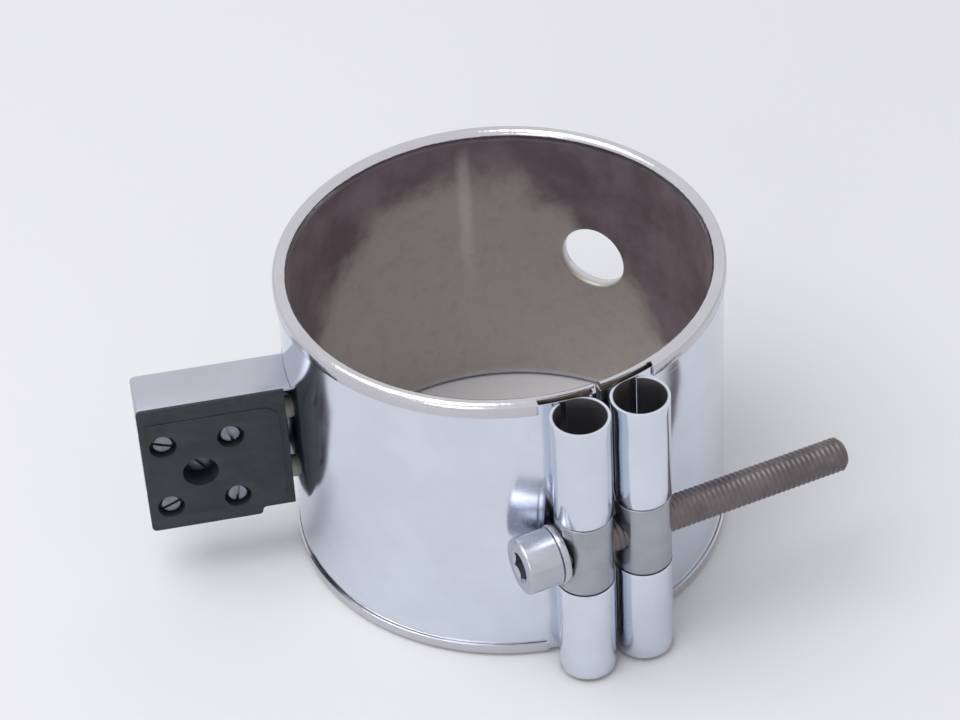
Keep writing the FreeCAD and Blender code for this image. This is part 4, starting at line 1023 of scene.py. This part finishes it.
class BandHeaterTerminalScrews(bpy.types.Operator):
    """Cut the slotted screws: four over the terminals and one deep in the middle"""
    bl_idname = "band_heater.terminal_screws"
    bl_label = "Terminal screws"

    def execute(self, context):
        sizes = context.scene.band_heater_box
        shade = context.scene.band_heater_colours.plated
        face = sizes.depth / 2 + sizes.lip
        seat = face - sizes.well_depth
        model = cheese_head("terminal_screws_slotted", 2.3 * MM, 1.7 * MM, 1.4 * MM,
                            seat - 1.2 * MM, 0.7 * MM)
        copies = []
        turns = {(0, 0): 12, (0, 1): -8, (1, 0): 70, (1, 1): 115}
        for post, x in enumerate(posts(sizes)):
            for row, pole in enumerate(poles(sizes)):
                only(model)
                bpy.ops.object.duplicate(linked=False)
                copy = bpy.context.object
                copy.data.transform(Matrix.Translation((x, seat, pole)) @ Matrix.Rotation(
                    math.radians(turns[post, row]), 4, "Y"))
                copies.append(copy)
        bpy.data.objects.remove(model)
        only(*copies)
        bpy.ops.object.join()
        screws = bpy.context.object
        screws.name = "terminal_screws_slotted"
        screws.data.transform(BOX_FRAME)
        finished(screws, "band", "plated_steel", plated_steel("plated_screws", shade),
                 "connector_screws")

        deep = face - sizes.fixing_depth
        screw = cheese_head("fixing_screw_slotted", 2.75 * MM, 1.8 * MM, 1.45 * MM,
                            deep + sizes.depth / 2 + 3.2 * MM, 0.7 * MM)
        screw.data.transform(BOX_FRAME @ Matrix.Translation(
            (STRAP_OUT + sizes.reach, deep, -sizes.pole_drop)) @ Matrix.Rotation(
                math.radians(35), 4, "Y"))
        # the fixing screw takes the terminal screws' plated colour darkened to 0.55: painted shade for the deep
        # well it sits in
        finished(screw, "band", "plated_steel",
                 plated_steel("fixing_screw_steel", scaled(shade, 0.55), 0.4), "block_screw")
        return {"FINISHED"}


class BandHeaterSolids(bpy.types.Operator):
    """Finish the solids that keep their own shape: mica, ribbon, leads, brass, bushes, nut"""
    bl_idname = "band_heater.solids"
    bl_label = "Inner solids"

    def execute(self, context):
        colours = context.scene.band_heater_colours
        mica, ceramic = pressed_mica(colours), fired_ceramic(colours)
        nickel = plated_steel("nickel_lead", colours.nickel, 0.34)
        brass = plated_steel("turned_brass", colours.brass, 0.26)
        finishes = {
            "inner_mica": mica, "mica_core": mica, "outer_mica": mica,
            "heating_ribbon": plated_steel("resistance_ribbon", colours.ribbon, 0.42),
            "upper_lead": nickel, "lower_lead": nickel,
            "upper_connector": brass, "lower_connector": brass,
            "upper_bush": ceramic, "lower_bush": ceramic,
            "block_nut": plated_steel("plated_nut", colours.plated),
        }
        for node, material in finishes.items():
            data = frame["nodes"][node].data
            data.materials.clear()
            data.materials.append(material)
        return {"FINISHED"}


class BandHeaterStage(bpy.types.Operator):
    """Set the pale floor, the soft studio light and the camera"""
    bl_idname = "band_heater.stage"
    bl_label = "Stage"

    def execute(self, context):
        scene = context.scene
        scene.view_settings.view_transform = "Standard"
        bpy.ops.object.select_all(action="DESELECT")
        bpy.ops.mesh.primitive_grid_add(x_subdivisions=8, y_subdivisions=8, size=8,
                                        location=(0, 0, -RIM_TOP))
        floor = bpy.context.object
        floor.name = "floor"
        bpy.ops.object.transform_apply()
        paper = Finish("pale_paper")
        shade = scene.band_heater_colours.floor
        fibre = paper.noise(0.002, 4.0, 0.6)
        tone = paper.blend(paper.noise(0.5, 2.0), scaled(shade, 0.985), scaled(shade, 1.01))
        floor.data.materials.append(paper.dress(
            Base_Color=tone, Roughness=0.9, Normal=paper.relief(fibre, 0.00003),
            Specular_IOR_Level=0.2))
        self.light("overhead", (-0.48, 0.05, 1.05), 0.95, 6.4)
        self.light("side", (-0.80, -0.75, 0.55), 0.55, 1.3)
        self.surroundings(scene)
        self.camera(scene)
        return {"FINISHED"}

    def light(self, name, place, size, power):
        place = Vector(place)
        bpy.ops.object.light_add(type="AREA", location=place,
                                 rotation=place.to_track_quat("Z", "Y").to_euler())
        lamp = bpy.context.object
        lamp.name = name
        lamp.data.shape, lamp.data.size, lamp.data.energy = "DISK", size, power

    def surroundings(self, scene):
        world = bpy.data.worlds.new("pale_studio")
        scene.world = world
        world.use_nodes = True
        nodes, links = world.node_tree.nodes, world.node_tree.links
        light = nodes["Background"]
        light.inputs["Color"].default_value = (0.97, 0.975, 1.0, 1)
        light.inputs["Strength"].default_value = 0.66
        backdrop = nodes.new("ShaderNodeBackground")
        backdrop.inputs["Color"].default_value = (0.93, 0.935, 0.95, 1)
        backdrop.inputs["Strength"].default_value = 1.0
        path = nodes.new("ShaderNodeLightPath")
        seen = nodes.new("ShaderNodeMath")
        seen.operation, seen.use_clamp = "ADD", True
        also = nodes.new("ShaderNodeMath")
        also.operation, also.use_clamp = "ADD", True
        links.new(path.outputs["Is Camera Ray"], seen.inputs[0])
        links.new(path.outputs["Is Glossy Ray"], seen.inputs[1])
        links.new(seen.outputs[0], also.inputs[0])
        links.new(path.outputs["Is Transmission Ray"], also.inputs[1])
        choose = nodes.new("ShaderNodeMixShader")
        links.new(also.outputs[0], choose.inputs[0])
        links.new(light.outputs[0], choose.inputs[1])
        links.new(backdrop.outputs[0], choose.inputs[2])
        links.new(choose.outputs[0], nodes["World Output"].inputs["Surface"])

    def camera(self, scene):
        data = bpy.data.cameras.new("studio_camera")
        camera = bpy.data.objects.new("studio_camera", data)
        scene.collection.objects.link(camera)
        data.lens, data.sensor_width = 119.94, 36
        data.shift_x, data.shift_y = -0.0263, 0.0233
        data.clip_start, data.clip_end = 0.02, 20
        turn, fall, roll = (math.radians(angle) for angle in (23.2, 40.47, -3.063))
        forward = Vector((math.sin(turn) * math.cos(fall), math.cos(turn) * math.cos(fall),
                          -math.sin(fall)))
        right = Vector((math.cos(turn), -math.sin(turn), 0))
        over = right.cross(forward)
        right, over = (right * math.cos(roll) + over * math.sin(roll),
                       over * math.cos(roll) - right * math.sin(roll))
        place = Vector((0, 0, 0.76 * MM)) - forward * 737.25 * MM
        camera.matrix_world = Matrix.Translation(place) @ Matrix(
            (right, over, -forward)).transposed().to_4x4()
        scene.camera = camera


PIECES = (BandHeaterSheath, BandHeaterStrap, BandHeaterBarrels, BandHeaterScrew,
          BandHeaterTerminalBox, BandHeaterMoulding, BandHeaterTerminalScrews,
          BandHeaterSolids, BandHeaterStage)


class BandHeaterPanel(bpy.types.Panel):
    """The band heater's pieces and their sizes and colours."""
    bl_label = "Band Heater"
    bl_idname = "VIEW3D_PT_band_heater"
    bl_space_type = "VIEW_3D"
    bl_region_type = "UI"
    bl_category = "Band Heater"

    def draw(self, context):
        layout = self.layout
        for piece in PIECES:
            layout.operator(piece.bl_idname)
        for name in GROUPS:
            group = getattr(context.scene, name)
            box = layout.box()
            for prop in group.bl_rna.properties:
                if prop.identifier not in ("rna_type", "name"):
                    box.prop(group, prop.identifier)


GROUPS = {"band_heater_sheets": BandHeaterSheets, "band_heater_clamp": BandHeaterClamp,
          "band_heater_box": BandHeaterBox, "band_heater_colours": BandHeaterColours}


def register():
    for kind in (*GROUPS.values(), *PIECES, BandHeaterPanel):
        bpy.utils.register_class(kind)
    for name, group in GROUPS.items():
        setattr(bpy.types.Scene, name, PointerProperty(type=group))


def unregister():
    for name in GROUPS:
        delattr(bpy.types.Scene, name)
    for kind in reversed((*GROUPS.values(), *PIECES, BandHeaterPanel)):
        bpy.utils.unregister_class(kind)


def main():
    register()
    bpy.ops.band_heater.sheath()
    bpy.ops.band_heater.strap()
    bpy.ops.band_heater.barrels()
    bpy.ops.band_heater.screw()
    bpy.ops.band_heater.terminal_box()
    bpy.ops.band_heater.moulding()
    bpy.ops.band_heater.terminal_screws()
    bpy.ops.band_heater.solids()
    bpy.ops.band_heater.stage()


if __name__ == "__main__":
    main()
